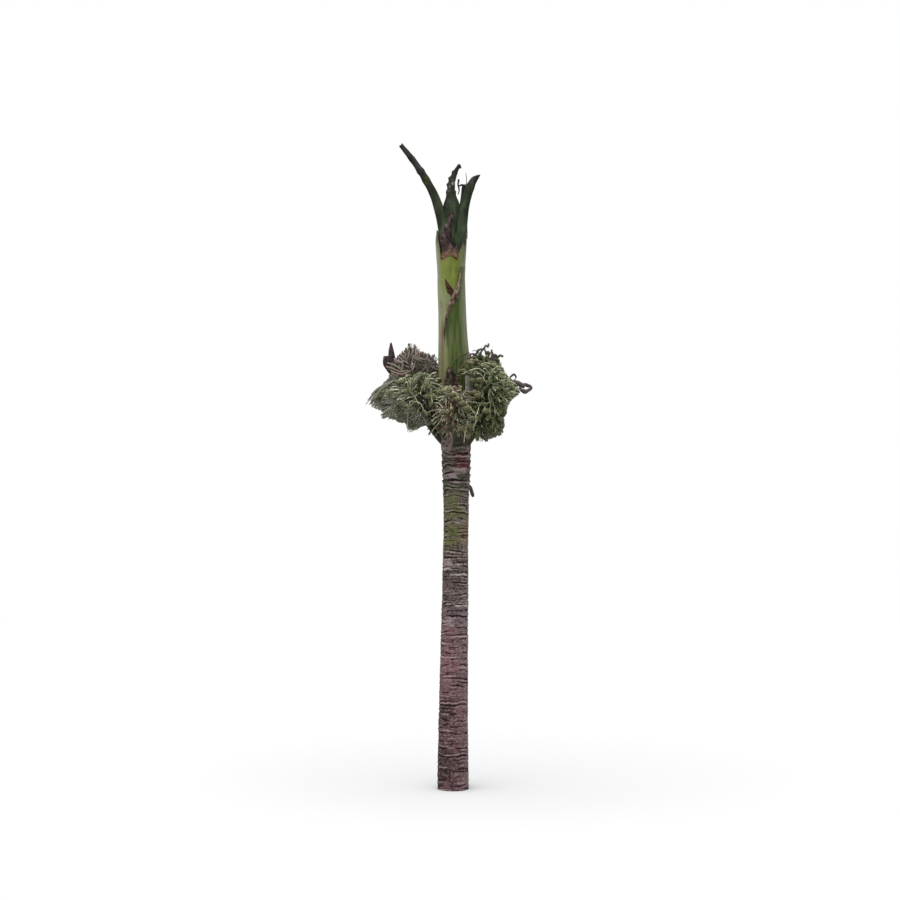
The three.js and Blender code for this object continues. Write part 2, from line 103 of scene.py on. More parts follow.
CLUSTER = Sizes(foot_heights=(2574, 2606), depth_share=0.5, shaft_gap=5)
STEM = Sizes(radius=30, tip_radius=14, bend_out=0.62, bend_up=0.25, end_drop=0.1)
BOUGH = Sizes(
    count=7,
    radius=12,
    tip_radius=6,
    first_root=0.5,
    wander=10,
    size=0.76,
    size_spread=0.08,
    side=0.55,
    side_spread=(0.675, 0.48),
    bend_at=0.55,
    lift=0.14,
)
TWIG = Sizes(
    count=2,
    radius=9,
    tip_radius=6,
    roots=(0.35, 0.85),
    sizes=(0.48, 0.8),
    size_spread=0.1,
    turn=24,
    turn_share=0.75,
    turn_spread=0.33,
    sides=(1, -0.3),
    side_reach=0.5,
)

# The eye in front of the palm

CAMERA = Sizes(place=(-22.2, -8500, 1450), tilt=7.183, lens=44.68, sensor=36)

# Small maths


def lerp(low, high, share):
    return low + (high - low) * share


def smoothstep(value, low, high):
    share = np.clip((value - low) / (high - low), 0, 1)
    return share * share * (3 - 2 * share)


def bell(value, middle, width):
    return np.exp(-(((value - middle) / width) ** 2))


def unit(vectors):
    return vectors / np.maximum(np.linalg.norm(vectors, axis=-1, keepdims=True), 1e-9)


def shares(rows, columns):
    """Two grids of shares from 0 to 1, the first along the rows and the second across them."""
    return np.meshgrid(np.linspace(0, 1, rows), np.linspace(0, 1, columns), indexing="ij")


def axis_x(z):
    crown = smoothstep(z, LEAN.trunk_height, LEAN.crown_height)
    return LEAN.trunk * smoothstep(z, 0, LEAN.trunk_height) + (LEAN.crown - LEAN.trunk) * crown


def around(radius, azimuth, z):
    """A point at a radius and an azimuth round the stem's axis."""
    turn = np.radians(azimuth)
    x = axis_x(z) + radius * np.cos(turn)
    return np.stack(np.broadcast_arrays(x, radius * np.sin(turn), z), axis=-1).astype(float)


def from_front(radius, angle, z):
    """The same, with the angle counted from the front, to the right as seen from there."""
    return around(radius, angle - 90, z)


def random_from(seed):
    """The solids' seeded source of numbers from 0 to 1."""
    state = seed

    def draw():
        nonlocal state
        state = (state + 0x6D2B79F5) & WORD
        mixed = ((state ^ (state >> 15)) * (state | 1)) & WORD
        mixed ^= (mixed + (mixed ^ (mixed >> 7)) * (mixed | 61)) & WORD
        return (mixed ^ (mixed >> 14)) / 2**32

    return draw


# Odd numbers and shifts that turn a cell's place into noise
SCRAMBLE = np.array([374761393, 668265263, 2246822519], np.uint32)
STIR = [(np.uint32(15), np.uint32(2654435761)), (np.uint32(13), np.uint32(3266489917))]


def noise(points, size, seed):
    """Smooth noise from -1 to 1, with lumps of about one size or a pair of sizes across and up."""
    across, up = size if isinstance(size, tuple) else (size, size)
    scaled = np.asarray(points, float) / [across, across, up]
    cell = np.floor(scaled).astype(np.int64)
    share = scaled - cell
    share = share * share * (3 - 2 * share)
    total = np.zeros(scaled.shape[:-1])
    for corner in itertools.product((0, 1), repeat=3):
        place = (cell + corner).astype(np.uint32) * SCRAMBLE
        mixed = place.sum(axis=-1, dtype=np.uint32) + np.uint32(seed * 7919 + 17)
        for shift, factor in STIR:
            mixed = (mixed ^ (mixed >> shift)) * factor
        value = (mixed ^ (mixed >> np.uint32(16))) / (WORD / 2) - 1
        total += value * np.prod(np.where(corner, share, 1 - share), axis=-1)
    return total


def layered(points, layers):
    """A sum of noises, each with its height, size and seed."""
    return sum(height * noise(points, size, seed) for height, size, seed in layers)


def crumpled(points, coarse, fine, seed):
    return layered(points, ((1, coarse, seed), (0.5, fine, seed + 1)))


def shaken(line, size, reach, seed):
    """A line whose points are moved about by noise."""
    return line + reach * np.stack([noise(line, size, seed + k) for k in range(3)], -1)


def bezier(start, bend, end, t):
    t = np.asarray(t, float)[..., None]
    return (1 - t) ** 2 * start + 2 * t * (1 - t) * bend + t**2 * end


def spline(points, t):
    """Points of the centripetal curve through a list of points, with each span an equal share of t."""
    points = np.asarray(points, float)
    points = np.vstack([2 * points[0] - points[1], points, 2 * points[-1] - points[-2]])
    spans = len(points) - 3
    place = np.asarray(t, float) * spans
    index = np.minimum(place.astype(int), spans - 1)
    share = (place - index)[..., None]
    p0, p1, p2, p3 = (points[index + step] for step in range(4))
    pairs = ((p0, p1), (p1, p2), (p2, p3))
    d0, d1, d2 = (np.linalg.norm(b - a, axis=-1, keepdims=True) ** 0.5 for a, b in pairs)
    slope1 = d1 * ((p1 - p0) / d0 - (p2 - p0) / (d0 + d1) + (p2 - p1) / d1)
    slope2 = d1 * ((p2 - p1) / d1 - (p3 - p1) / (d1 + d2) + (p3 - p2) / d2)
    cubic = 2 * p1 - 2 * p2 + slope1 + slope2
    square = 3 * p2 - 3 * p1 - 2 * slope1 - slope2
    return ((cubic * share + square) * share + slope1) * share + p1


def along_list(values, t):
    return np.interp(t, np.linspace(0, 1, len(values)), values)


def along_rows(rows, t):
    """Each column of a table, read at shares along its rows."""
    return [along_list(column, t) for column in zip(*rows)]


# Meshes: each solid is its points, its faces, and marks from 0 to 1 on its points by name


def outward(points, faces):
    """The faces of a closed surface, turned over where they point in."""
    volume = 0.0
    for face in faces:
        for corner in range(1, face.shape[1] - 1):
            a, b, c = (points[face[:, k]] for k in (0, corner, corner + 1))
            volume += np.einsum("ij,ij->", a, np.cross(b, c))
    return faces if volume > 0 else [face[:, ::-1] for face in faces]


def grid_quads(rows, columns, closed):
    """Faces of a grid of points, counted row by row."""
    row, column = np.meshgrid(np.arange(rows - 1), np.arange(columns - (not closed)), indexing="ij")
    here = row * columns + column
    beside = row * columns + (column + 1) % columns
    return np.stack([here, beside, beside + columns, here + columns], -1).reshape(-1, 4)


def round_solid(grid, **marks):
    """A closed surface through rings of points, with a fan of faces over each end."""
    rows, columns = grid.shape[:2]
    ends = np.stack([grid[0].mean(0), grid[-1].mean(0)])
    points = np.vstack([grid.reshape(-1, 3), ends])
    side = np.arange(columns)
    other = (side + 1) % columns
    foot = np.stack([other, side, np.full(columns, rows * columns)], -1)
    last = (rows - 1) * columns
    head = np.stack([last + side, last + other, np.full(columns, rows * columns + 1)], -1)
    faces = outward(points, [grid_quads(rows, columns, True), foot, head])
    ended = {name: np.append(value, [value[0].mean(), value[-1].mean()]) for name, value in marks.items()}
    return points, faces, ended


def thick_sheet(front, back, **marks):
    """A closed sheet between two grids of points."""
    rows, columns = front.shape[:2]
    points = np.vstack([front.reshape(-1, 3), back.reshape(-1, 3)])
    quads = grid_quads(rows, columns, False)
    index = np.arange(rows * columns).reshape(rows, columns)
    border = np.concatenate([index[0], index[1:, -1], index[-1, -2::-1], index[-2:0:-1, 0]])
    beside = np.roll(border, -1)
    edge = np.stack([border, beside, beside + rows * columns, border + rows * columns], -1)
    faces = outward(points, [quads, quads[:, ::-1] + rows * columns, edge[:, ::-1]])
    return points, faces, {name: np.tile(value.reshape(-1), 2) for name, value in marks.items()}


def curved_sheet(radius, wall, angle, z, **marks):
    """A closed sheet round the stem's axis, with its wall inside a radius."""
    return thick_sheet(from_front(radius, angle, z), from_front(radius - wall, angle, z), **marks)


def tubes(lines, radii, sides):
    """Closed round limbs along many lines of points, all with the same number of points."""
    lines = np.asarray(lines, float)
    radii = np.broadcast_to(radii, lines.shape[:2])
    count, steps = lines.shape[:2]
    forward = unit(np.gradient(lines, axis=1))
    over = np.empty_like(lines)
    first = forward[:, 0]
    helper = np.where(np.abs(first[:, 2:]) < 0.8, UP, [1.0, 0.0, 0.0])
    over[:, 0] = unit(np.cross(first, helper))
    for step in range(1, steps):
        last = over[:, step - 1]
        way = forward[:, step]
        over[:, step] = unit(last - way * np.sum(last * way, -1, keepdims=True))
    across = np.cross(forward, over)
    turn = np.linspace(0, 2 * np.pi, sides, endpoint=False)[:, None]
    spoke = np.cos(turn) * over[:, :, None] + np.sin(turn) * across[:, :, None]
    rings = lines[:, :, None] + radii[:, :, None, None] * spoke
    points = np.concatenate([rings.reshape(count, -1, 3), lines[:, :1], lines[:, -1:]], axis=1)
    faces = round_solid(rings[0])[1]
    offsets = np.arange(count)[:, None, None] * points.shape[1]
    every = [(face[None] + offsets).reshape(-1, face.shape[1]) for face in faces]
    return points.reshape(-1, 3), every, {}


BLADE = Sizes(rows=30, columns=13, coarse=18, fine=7)


def blade(route, half_widths, facing, crumple, seed, thickness=3, cup=0.35):
    """A dry leafy scrap along a route: cupped across, crumpled all over, marked for painted shade in its
    folds and painted highlights on its crests.
    """
    t, share = shares(BLADE.rows, BLADE.columns)
    across = 2 * share - 1
    middle = spline(route, t)
    forward = unit(np.gradient(middle, axis=0))
    side = unit(np.cross(forward, np.array(facing, float)))
    out = np.cross(side, forward)
    half = along_list(half_widths, t)
    place = middle + (half * across)[..., None] * side
    bump = crumple * crumpled(place, BLADE.coarse, BLADE.fine, seed)
    front = place + (bump - cup * half * across**2)[..., None] * out
    return thick_sheet(front, front - thickness * out, fold=np.clip(0.5 - bump / (2 * crumple), 0, 1))


def new_object(name, data):
    thing = bpy.data.objects.new(name, data)
    bpy.context.scene.collection.objects.link(thing)
    return thing


def piece(name, solids, finish, slot, *nodes):
    """Solids joined into an object that rides on the palm and may stand for some of its nodes."""
    starts = np.cumsum([0] + [len(points) for points, _, _ in solids])
    points = np.vstack([points for points, _, _ in solids]) * MM
    faces = [face + start for (_, some, _), start in zip(solids, starts) for face in some]
    corners = np.concatenate([face.reshape(-1) for face in faces])
    sizes = np.concatenate([np.full(len(face), face.shape[1]) for face in faces])
    mesh = bpy.data.meshes.new(name)
    mesh.vertices.add(len(points))
    mesh.vertices.foreach_set("co", points.reshape(-1))
    mesh.loops.add(len(corners))
    mesh.loops.foreach_set("vertex_index", corners)
    mesh.polygons.add(len(sizes))
    mesh.polygons.foreach_set("loop_start", np.cumsum(sizes) - sizes)
    mesh.update(calc_edges=True)
    mesh.shade_smooth()
    for mark in solids[0][2]:
        values = np.concatenate([marks[mark].reshape(-1) for _, _, marks in solids]).astype(float)
        mesh.attributes.new(mark, "FLOAT", "POINT").data.foreach_set("value", values)
    mesh.materials.append(finish)
    thing = new_object(name, mesh)
    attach(thing, "root")
    if nodes:
        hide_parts(*nodes)


# Materials: colours are given as they look in the room, from 0 to 255, and places on an axis in metres

# The room, whose gain says how much brighter colours come out in it than they are
ROOM = Sizes(gain=1.75, sun=5.0, sun_spread=70, sun_tilt=14, sun_turn=-6, sky=1.0, floor=0.4)
NOISE_RANGE = (0.3, 0.7)  # which most of a noise keeps to


def tint(colour):
    """The base colour that looks as given."""
    shown = np.array(colour) / 255
    linear = np.where(shown <= 0.04045, shown / 12.92, ((shown + 0.055) / 1.055) ** 2.4)
    return (*(linear / ROOM.gain), 1.0)


class Finish:
    """A node material, to which patterns and mixes are added one call at a time."""

    def __init__(self, name, gloss=0.2):
        self.material = bpy.data.materials.new(name)
        self.material.use_nodes = True
        self.tree = self.material.node_tree
        self.shader = self.tree.nodes["Principled BSDF"]
        self.shader.inputs["Specular IOR Level"].default_value = gloss
        self.place = self.add("ShaderNodeTexCoord").outputs["Object"]

    def put(self, socket, value):
        if isinstance(value, bpy.types.NodeSocket):
            self.tree.links.new(value, socket)
        else:
            socket.default_value = value

    def add(self, kind, **inputs):
        node = self.tree.nodes.new(kind)
        for name, value in inputs.items():
            self.put(node.inputs[name], value)
        return node

    def noise(self, size, detail=4.0, tall=1, offset=0.0):
        """Noise whose lumps are about a size in millimetres across, and some times as tall."""
        scale = [1 / (size * MM * share) for share in (1, 1, tall)]
        mapping = self.add("ShaderNodeMapping", Vector=self.place, Scale=scale, Location=[offset] * 3)
        texture = self.add("ShaderNodeTexNoise", Vector=mapping.outputs["Vector"], Scale=1.0, Detail=detail)
        return texture.outputs["Fac"]

    def spread(self, value, low, high, out_low=0.0, out_high=1.0):
        """A value's range taken to another range and kept within it."""
        ends = {"From Min": low, "From Max": high, "To Min": out_low, "To Max": out_high}
        return self.add("ShaderNodeMapRange", Value=value, **ends).outputs["Result"]

    def mark(self, name):
        node = self.add("ShaderNodeAttribute")
        node.attribute_name = name
        return node.outputs["Fac"]

    def axis(self, name):
        return self.add("ShaderNodeSeparateXYZ", Vector=self.place).outputs[name]

    def ramp(self, value, *stops):
        """Colours at places along a value from 0 to 1."""
        node = self.add("ShaderNodeValToRGB", Fac=value)
        elements = node.color_ramp.elements
        while len(elements) < len(stops):
            elements.new(1.0)
        for element, (position, colour) in zip(elements, stops):
            element.position = position
            element.color = tint(colour)
        return node.outputs["Color"]

    def mix(self, share, first, second):
        """Two patterns or colours, mixed by a share of the second."""
        node = self.tree.nodes.new("ShaderNodeMix")
        node.data_type = "RGBA"
        for index, value in zip((0, 6, 7), (share, first, second)):
            self.put(node.inputs[index], tint(value) if isinstance(value, tuple) else value)
        return node.outputs[2]

    def coat(self, base, colour, value, low, high, most=1.0):
        """A base covered by a colour, up to a share at most, as a value goes from low to high."""
        return self.mix(self.spread(value, low, high, 0.0, most), base, colour)

    def maths(self, operation, first, second):
        node = self.tree.nodes.new("ShaderNodeMath")
        node.operation = operation
        self.put(node.inputs[0], first)
        self.put(node.inputs[1], second)
        return node.outputs[0]

    def wear(self, colour, pattern, rough, height, depth):
        """Sets the colour, the range of roughness over a pattern, and the bump with its depth."""
        bump = self.add("ShaderNodeBump", Height=height, Distance=depth * MM, Strength=1.0)
        self.put(self.shader.inputs["Base Color"], colour)
        self.put(self.shader.inputs["Roughness"], self.spread(pattern, *NOISE_RANGE, *rough))
        self.put(self.shader.inputs["Normal"], bump.outputs["Normal"])
        return self.material


# Bark by share of the trunk's height, then its patches
BARK_COLOURS = [
    (0.0, (108, 78, 82)),
    (0.25, (124, 90, 95)),
    (0.38, (134, 104, 108)),
    (0.47, (110, 94, 96)),
    (0.6, (92, 84, 77)),
    (0.72, (108, 105, 77)),
    (0.83, (104, 103, 82)),
    (1.0, (126, 114, 102)),
]
PATCH_COLOURS = {
    "green": (74, 80, 58),
    "olive": (106, 112, 66),
    "tan": (136, 118, 92),
    "red": (98, 40, 48),
    "rose": (134, 97, 101),
    "lilac": (172, 154, 156),
    # Dark patches: painted shade low on the trunk's left side
    "shade": (66, 46, 48),
    # Thin pale patches: painted highlights
    "painted_highlight": (214, 204, 198),
    # Dark patch: painted shade in a hole
    "hole_shade": (38, 30, 30),
}
SMOOTH_PATCHES = ("green", "olive", "red")


def bark_finish():
    """Mauve-brown at the foot, grey in the middle, olive above, with painted shade in the grooves and painted
    highlights on the ridges.
    """
    finish = Finish("bark", 0.1)
    base = finish.ramp(finish.spread(finish.axis("Z"), 0.0, TRUNK.height * MM), *BARK_COLOURS)
    blotch = finish.spread(finish.noise(80, 5.0), 0.36, 0.62)
    base = finish.coat(base, (70, 52, 54), blotch, 1.0, 0.0, 0.35)
    # Painted light: paler on the right side, where light falls
    base = finish.coat(base, (152, 140, 138), finish.axis("X"), 0.03, 0.11, 0.45)
    for kind, colour in PATCH_COLOURS.items():
        base = finish.mix(finish.mark(kind), base, colour)
    speckle = finish.noise(16, 3.0, tall=0.625, offset=5.0)
    bare = finish.spread(finish.mark("cover"), 0.0, 0.85, 1.0, 0.3)
    pale = finish.maths("MULTIPLY", finish.spread(speckle, 0.5, 0.7, 0.0, 0.55), bare)
    dark = finish.maths("MULTIPLY", finish.spread(speckle, 0.48, 0.32, 0.0, 0.75), bare)
    base = finish.mix(pale, base, (158, 142, 142))
    base = finish.mix(dark, base, (52, 38, 40))
    jitter = finish.spread(speckle, 0.25, 0.75, -0.12, 0.12)
    relief = finish.maths("ADD", finish.mark("relief"), jitter)
    # Painted shade in the grooves and painted highlights on the ridges, by the relief mark
    base = finish.coat(base, (40, 25, 28), relief, 0.42, 0.14)
    base = finish.coat(base, (180, 162, 160), relief, 0.6, 0.92, 0.8)
    fibre = finish.noise(28, tall=0.25)
    return finish.wear(base, fibre, (0.8, 0.98), finish.maths("ADD", fibre, speckle), 3.0)


# Colours across the sheaths from left to right: paler to the left, partly the waxy bloom and partly painted
# light from the left
BLOOM_AND_PAINTED_LIGHT = (0.0, (150, 154, 120)), (0.35, (132, 139, 94)), (0.7, (100, 112, 66)), (1.0, (114, 124, 92))
YELLOW_GREEN = (0.0, (100, 114, 32)), (0.55, (119, 131, 42)), (1.0, (138, 142, 58))
DEEP_GREEN = (0.0, (45, 61, 12)), (0.6, (66, 84, 18)), (1.0, (88, 104, 36))


def bloom_and_painted_light(finish):
    """The waxy grey-green of both sheaths, streaked upright, palest to the left partly for its bloom and
    partly as painted light.
    """
    streak = finish.noise(6, tall=40)
    broad = finish.noise(20, 3.0, tall=14, offset=3.0)
    patch = finish.noise(90, tall=2, offset=9.0)
    # Paler to the left: the bloom together with painted light from the left
    side = finish.spread(finish.axis("X"), -0.13, 0.1)
    side = finish.maths("ADD", side, finish.spread(patch, *NOISE_RANGE, -0.18, 0.18))
    base = finish.coat(finish.ramp(side, *BLOOM_AND_PAINTED_LIGHT), (156, 160, 128), streak, 0.46, 0.68, 0.35)
    return finish.coat(base, (80, 90, 52), broad, 0.52, 0.74, 0.4)


def fresh_green(finish):
    """The yellow-green in front of the throat."""
    streak = finish.noise(7, tall=36)
    broad = finish.noise(36, 3.0, tall=5, offset=4.0)
    base = finish.ramp(finish.spread(broad, 0.32, 0.7), *YELLOW_GREEN)
    # Painted light: paler to the left, where light falls
    base = finish.coat(base, (150, 154, 84), finish.axis("X"), 0.02, -0.1, 0.55)
    return finish.coat(base, (86, 98, 42), streak, 0.45, 0.7, 0.35)


def sheath_finish():
    """The older sheath: dark green to the right of its dry edge, tan and stained below."""
    finish = Finish("sheath")
    streak = finish.noise(6, tall=40)
    broad = finish.noise(14, 3.0, tall=14, offset=4.0)
    base = finish.coat(bloom_and_painted_light(finish), (122, 124, 70), finish.axis("Z"), 3.4, 2.85, 0.75)
    base = finish.mix(finish.mark("fresh"), base, fresh_green(finish))
    base = finish.mix(finish.mark("deep"), base, finish.ramp(finish.spread(broad, 0.34, 0.7), *DEEP_GREEN))
    base = finish.mix(finish.mark("tan"), base, (120, 98, 70))
    stain = finish.noise(26, 5.0, tall=4, offset=5.0)
    base = finish.coat(base, (112, 92, 68), stain, 0.6, 0.72, 0.45)
    return finish.wear(base, broad, (0.45, 0.68), streak, 0.8)


def young_sheath_finish():
    """The younger sheath, with a dark dry rim."""
    finish = Finish("young_sheath")
    base = finish.mix(finish.mark("fresh"), bloom_and_painted_light(finish), fresh_green(finish))
    base = finish.mix(finish.mark("tan"), base, (128, 108, 72))
    base = finish.mix(finish.mark("rim"), base, (56, 38, 34))
    streak = finish.noise(7, tall=36)
    return finish.wear(base, streak, (0.36, 0.56), streak, 0.6)


# Dry husks: dark, middle and pale colours, and the size of the mottling; the dark and pale ones also give
# painted shade in folds and painted highlights on crests
HUSKS = {
    "leaf_base": ((44, 36, 36), (74, 64, 62), (112, 100, 96), 24),
    "dry_edge": ((44, 28, 21), (98, 76, 63), (152, 134, 118), 30),
    "dry_corner": ((32, 18, 12), (54, 31, 22), (80, 52, 39), 30),
    "frill": ((21, 13, 13), (62, 42, 43), (126, 100, 100), 34),
    "dark_bract": ((38, 32, 24), (74, 64, 54), (142, 122, 110), 26),
    "pale_bract": ((204, 204, 200), (238, 238, 234), (252, 252, 250), 30),
    "fibre": ((38, 38, 36), (62, 62, 58), (104, 104, 98), 18),
    "spike": ((44, 34, 37), (72, 60, 62), (100, 84, 86), 30),
}

# Feet of another colour, which fade out between two heights in metres: painted shade at the dry edge's lower
# tip, and the frill's own tan foot
HUSK_FEET = {"dry_edge": ((44, 35, 20), 3.58, 3.4), "frill": ((128, 100, 70), 4.1, 4.0)}


def husk_finish(name):
    """Dry papery husk, mottled between three colours, with painted shade in its folds and painted highlights
    on its crests, and fibres along it.
    """
    dark, middle, pale, size = HUSKS[name]
    finish = Finish(name, 0.15)
    fibre = finish.noise(size / 3, tall=6)
    patch = finish.noise(size, offset=2.0)
    base = finish.ramp(finish.spread(patch, 0.34, 0.66), (0.0, dark), (0.5, middle), (1.0, pale))
    base = finish.coat(base, pale, fibre, 0.52, 0.75, 0.5)
    fold = finish.mark("fold")
    # Painted shade where the fold mark is high, painted highlights where it is low
    base = finish.coat(base, dark, fold, 0.5, 0.95, 0.85)
    base = finish.coat(base, pale, fold, 0.32, 0.05, 0.7)
    # The dry edge's foot is painted shade at its lower tip; the frill's is its own tan
    if name in HUSK_FEET:
        colour, top, low = HUSK_FEET[name]
        base = finish.coat(base, colour, finish.axis("Z"), top, low, 0.85)
    return finish.wear(base, fibre, (0.75, 0.95), fibre, 1.5)


FRESH_STALK = (0.0, (34, 43, 28)), (0.6, (56, 68, 47)), (1.0, (76, 87, 63))
OLD_STALK = (0.0, (28, 28, 23)), (0.6, (54, 55, 49)), (1.0, (98, 98, 93))


def stalk_finish():
    """Dark green leaf stalk, grey-brown where it is old, scraped where its marks say so, with painted shade
    towards its top and a painted sheen where a mark says so.
    """
    finish = Finish("stalk", 0.1)
    fibre = finish.noise(6, tall=22)
    patch = finish.noise(45, tall=2.5, offset=6.0)
    scuff = finish.noise(18, 5.0, tall=2, offset=8.0)
    tone = finish.spread(patch, 0.36, 0.64)
    base = finish.mix(finish.mark("old"), finish.ramp(tone, *FRESH_STALK), finish.ramp(tone, *OLD_STALK))
    base = finish.coat(base, (98, 108, 82), fibre, 0.54, 0.74, 0.3)
    base = finish.mix(finish.mark("scrape"), base, (124, 126, 50))
    base = finish.coat(base, (92, 90, 76), scuff, 0.62, 0.72, 0.5)
    # Painted shade: darker towards the top
    base = finish.coat(base, (20, 27, 11), finish.axis("Z"), 4.25, 4.6, 0.65)
    # Painted sheen: a pale highlight on the twisted spear
    base = finish.mix(finish.mark("shine"), base, (140, 146, 138))
    return finish.wear(base, patch, (0.45, 0.7), fibre, 1.0)


def plain_finish(name, colours, roughness, size, depth):
    """One base colour with a light mottle of its shade, for many small things joined together."""
    finish = Finish(name)
    mottle = finish.noise(size)
    base = finish.coat(*colours, mottle, 0.42, 0.7, 0.6)
    return finish.wear(base, mottle, (roughness - 0.1, roughness + 0.1), mottle, depth)


def stem_finish():
    """Dark green fruit stem, or pale olive where its mark says so, with lengthwise scuffs."""
    finish = Finish("fruit_stem")
    scuff = finish.noise(30, tall=2)
    dark = finish.coat((46, 52, 34), (70, 70, 48), scuff, 0.42, 0.7, 0.6)
    pale = finish.coat((112, 114, 84), (150, 148, 118), scuff, 0.42, 0.7, 0.6)
    return finish.wear(finish.mix(finish.mark("pale"), dark, pale), scuff, (0.5, 0.7), scuff, 1.0)


# Trunk: noises are listed by height, size and seed

BARK = Sizes(
    sides=150,
    row_pitch=4.4,
    sink=1.5,
    tilt=8,
    tilt_turn=0.3425,  # degrees for each millimetre of height
    waves=((11, (110, 70), 1), (6, (40, 30), 2), (2.5, (13, 10), 3)),
    groove=4.5,
    groove_width=4.6,
    groove_strength=([0, 1500, 1800, 2080, 2250, 2690], [1.0, 1.0, 0.75, 0.7, 0.95, 1.0]),  # by height
    bands=((0.5, (130, 14), 9), (0.5, (46, 8), 10)),
    band_shift=(57, 31),
    band_height=2.0,
    line_pitch=([0, 900, 1300, 1750, 2100, 2690], [30, 27, 21, 21, 25, 30]),  # by height
    line_wander=5,
    line_strength=0.95,
    line_margin=100,
    ledge=8,
    ledge_levels=(2060, 2240),
    ledge_middle=0.33,
    lumps=((1.6, 120, 7), (1.0, 24, 8), (0.8, (10, 5), 12)),
)
PATCH = Sizes(ragged=((0.5, (50, 22), 21), (0.3, (16, 9), 22)), fade=(1.15, 0.75), strength=0.85)

# Patches of colour on the bark: mark, angle from the front, height, half-angle, half-height.
# Each has a twin round the back.
PATCHES = [
    ("lilac", -43, 2560, 26, 70),
    ("green", 12, 2580, 30, 55),
    ("red", 14, 2462, 30, 28),
    ("green", -32, 2402, 40, 18),
    ("red", 46, 2392, 46, 46),
    ("lilac", -40, 2330, 38, 26),
    ("lilac", 10, 2348, 34, 15),
    ("green", 25, 2305, 40, 18),
    ("green", 0, 2235, 80, 44),
    ("olive", -40, 2105, 48, 38),
    ("olive", -8, 2030, 62, 32),
    ("olive", -20, 1890, 58, 40),
    ("tan", 50, 1870, 28, 80),
    ("olive", -44, 1800, 42, 36),
    ("lilac", -45, 1668, 32, 40),
    # Thin pale patches here and below: painted highlights
    ("painted_highlight", 25, 1640, 26, 5),
    ("painted_highlight", -40, 1608, 34, 7),
    # Dark patch: painted shade in a hole
    ("hole_shade", -10, 1588, 24, 9),
    ("painted_highlight", 22, 1562, 34, 6),
    # Dark patch: painted shade in a hole
    ("hole_shade", 18, 1514, 34, 18),
    ("painted_highlight", -25, 1345, 24, 6),
    ("painted_highlight", 35, 1335, 28, 6),
    ("lilac", -45, 1215, 30, 30),
    ("rose", -35, 1145, 34, 34),
    ("rose", -25, 925, 40, 140),
    # Dark patches: painted shade low on the left side
    ("shade", -45, 530, 38, 90),
    ("shade", -42, 180, 42, 150),
]

# The scrap of leaf base: shares of its reach out from the bark and of its drop, then of its width
FLAP_ROUTE = [(-1, -0.15), (1 / 3, 1 / 3), (0.8, 0.8), (1, 1)]
FLAP_WIDTHS = [1, 1, 1, 0.5]
FLAP_FACING = (0.8, -1, 0.3)


def trunk_radius(z):
    flare = np.clip(1 - z / TRUNK.waist_height, 0, 1) ** TRUNK.flare_power
    collar = smoothstep(z, TRUNK.waist_height, TRUNK.collar_height)
    radius = TRUNK.waist_radius + (TRUNK.foot_radius - TRUNK.waist_radius) * flare
    return radius + (TRUNK.collar_radius - TRUNK.waist_radius) * collar


def ring_pitch(z):
    if z < TRUNK.waist_height:
        return lerp(RINGS.foot_pitch, RINGS.waist_pitch, z / TRUNK.waist_height)
    share = (z - TRUNK.waist_height) / (TRUNK.height - TRUNK.waist_height)
    return lerp(RINGS.waist_pitch, RINGS.top_pitch, share)


def ring_levels():
    levels = [-ring_pitch(0) / 2]
    while levels[-1] < TRUNK.height:
        levels.append(levels[-1] + ring_pitch(levels[-1]))
    return np.array(levels)


def patch_marks(place, azimuth, height):
    """How far each point lies in the patches of each kind, with ragged edges."""
    ragged = layered(place, PATCH.ragged)
    marks = {kind: np.zeros_like(height) for kind in PATCH_COLOURS}
    for kind, angle, level, half_angle, half_height in PATCHES:
        for twin in (0, 180):
            turn = (azimuth + 90 - angle - twin + 180) % 360 - 180
            far = np.maximum(np.abs(turn) / half_angle, np.abs(height - level) / half_height) + ragged
            marks[kind] = np.maximum(marks[kind], PATCH.strength * smoothstep(far, *PATCH.fade))
    return marks


def scars(place, level, z):
    """Each point's share of the way from one leaf scar to the next, and how deep its groove is."""
    levels = ring_levels()
    ring = np.interp(level, levels, np.arange(len(levels)))
    pitch = np.gradient(levels)[np.minimum(ring.astype(int), len(levels) - 1)]
    share = ring % 1
    nearest = np.minimum(share, 1 - share) * pitch
    broken = np.clip(0.5 + 1.2 * noise(place, (52, 24), 5), 0.05, 1.1) * np.interp(z, *BARK.groove_strength)
    return share, bell(nearest, 0, BARK.groove_width) * broken


def fine_lines(place, wandering):
    """Fine lines between the scars, closest in the middle of the trunk, that come and go."""
    heights = np.linspace(-BARK.line_margin, TRUNK.height + BARK.line_margin, 600)
    turns = np.cumsum((heights[1] - heights[0]) / np.interp(heights, *BARK.line_pitch))
    level = wandering[..., 2] + BARK.line_wander * noise(wandering, (60, 40), 14)
    wave = np.sin(2 * np.pi * np.interp(level, heights, turns))
    return BARK.line_strength * wave * np.clip(0.45 + 1.1 * noise(place, (80, 26), 15), 0, 1)


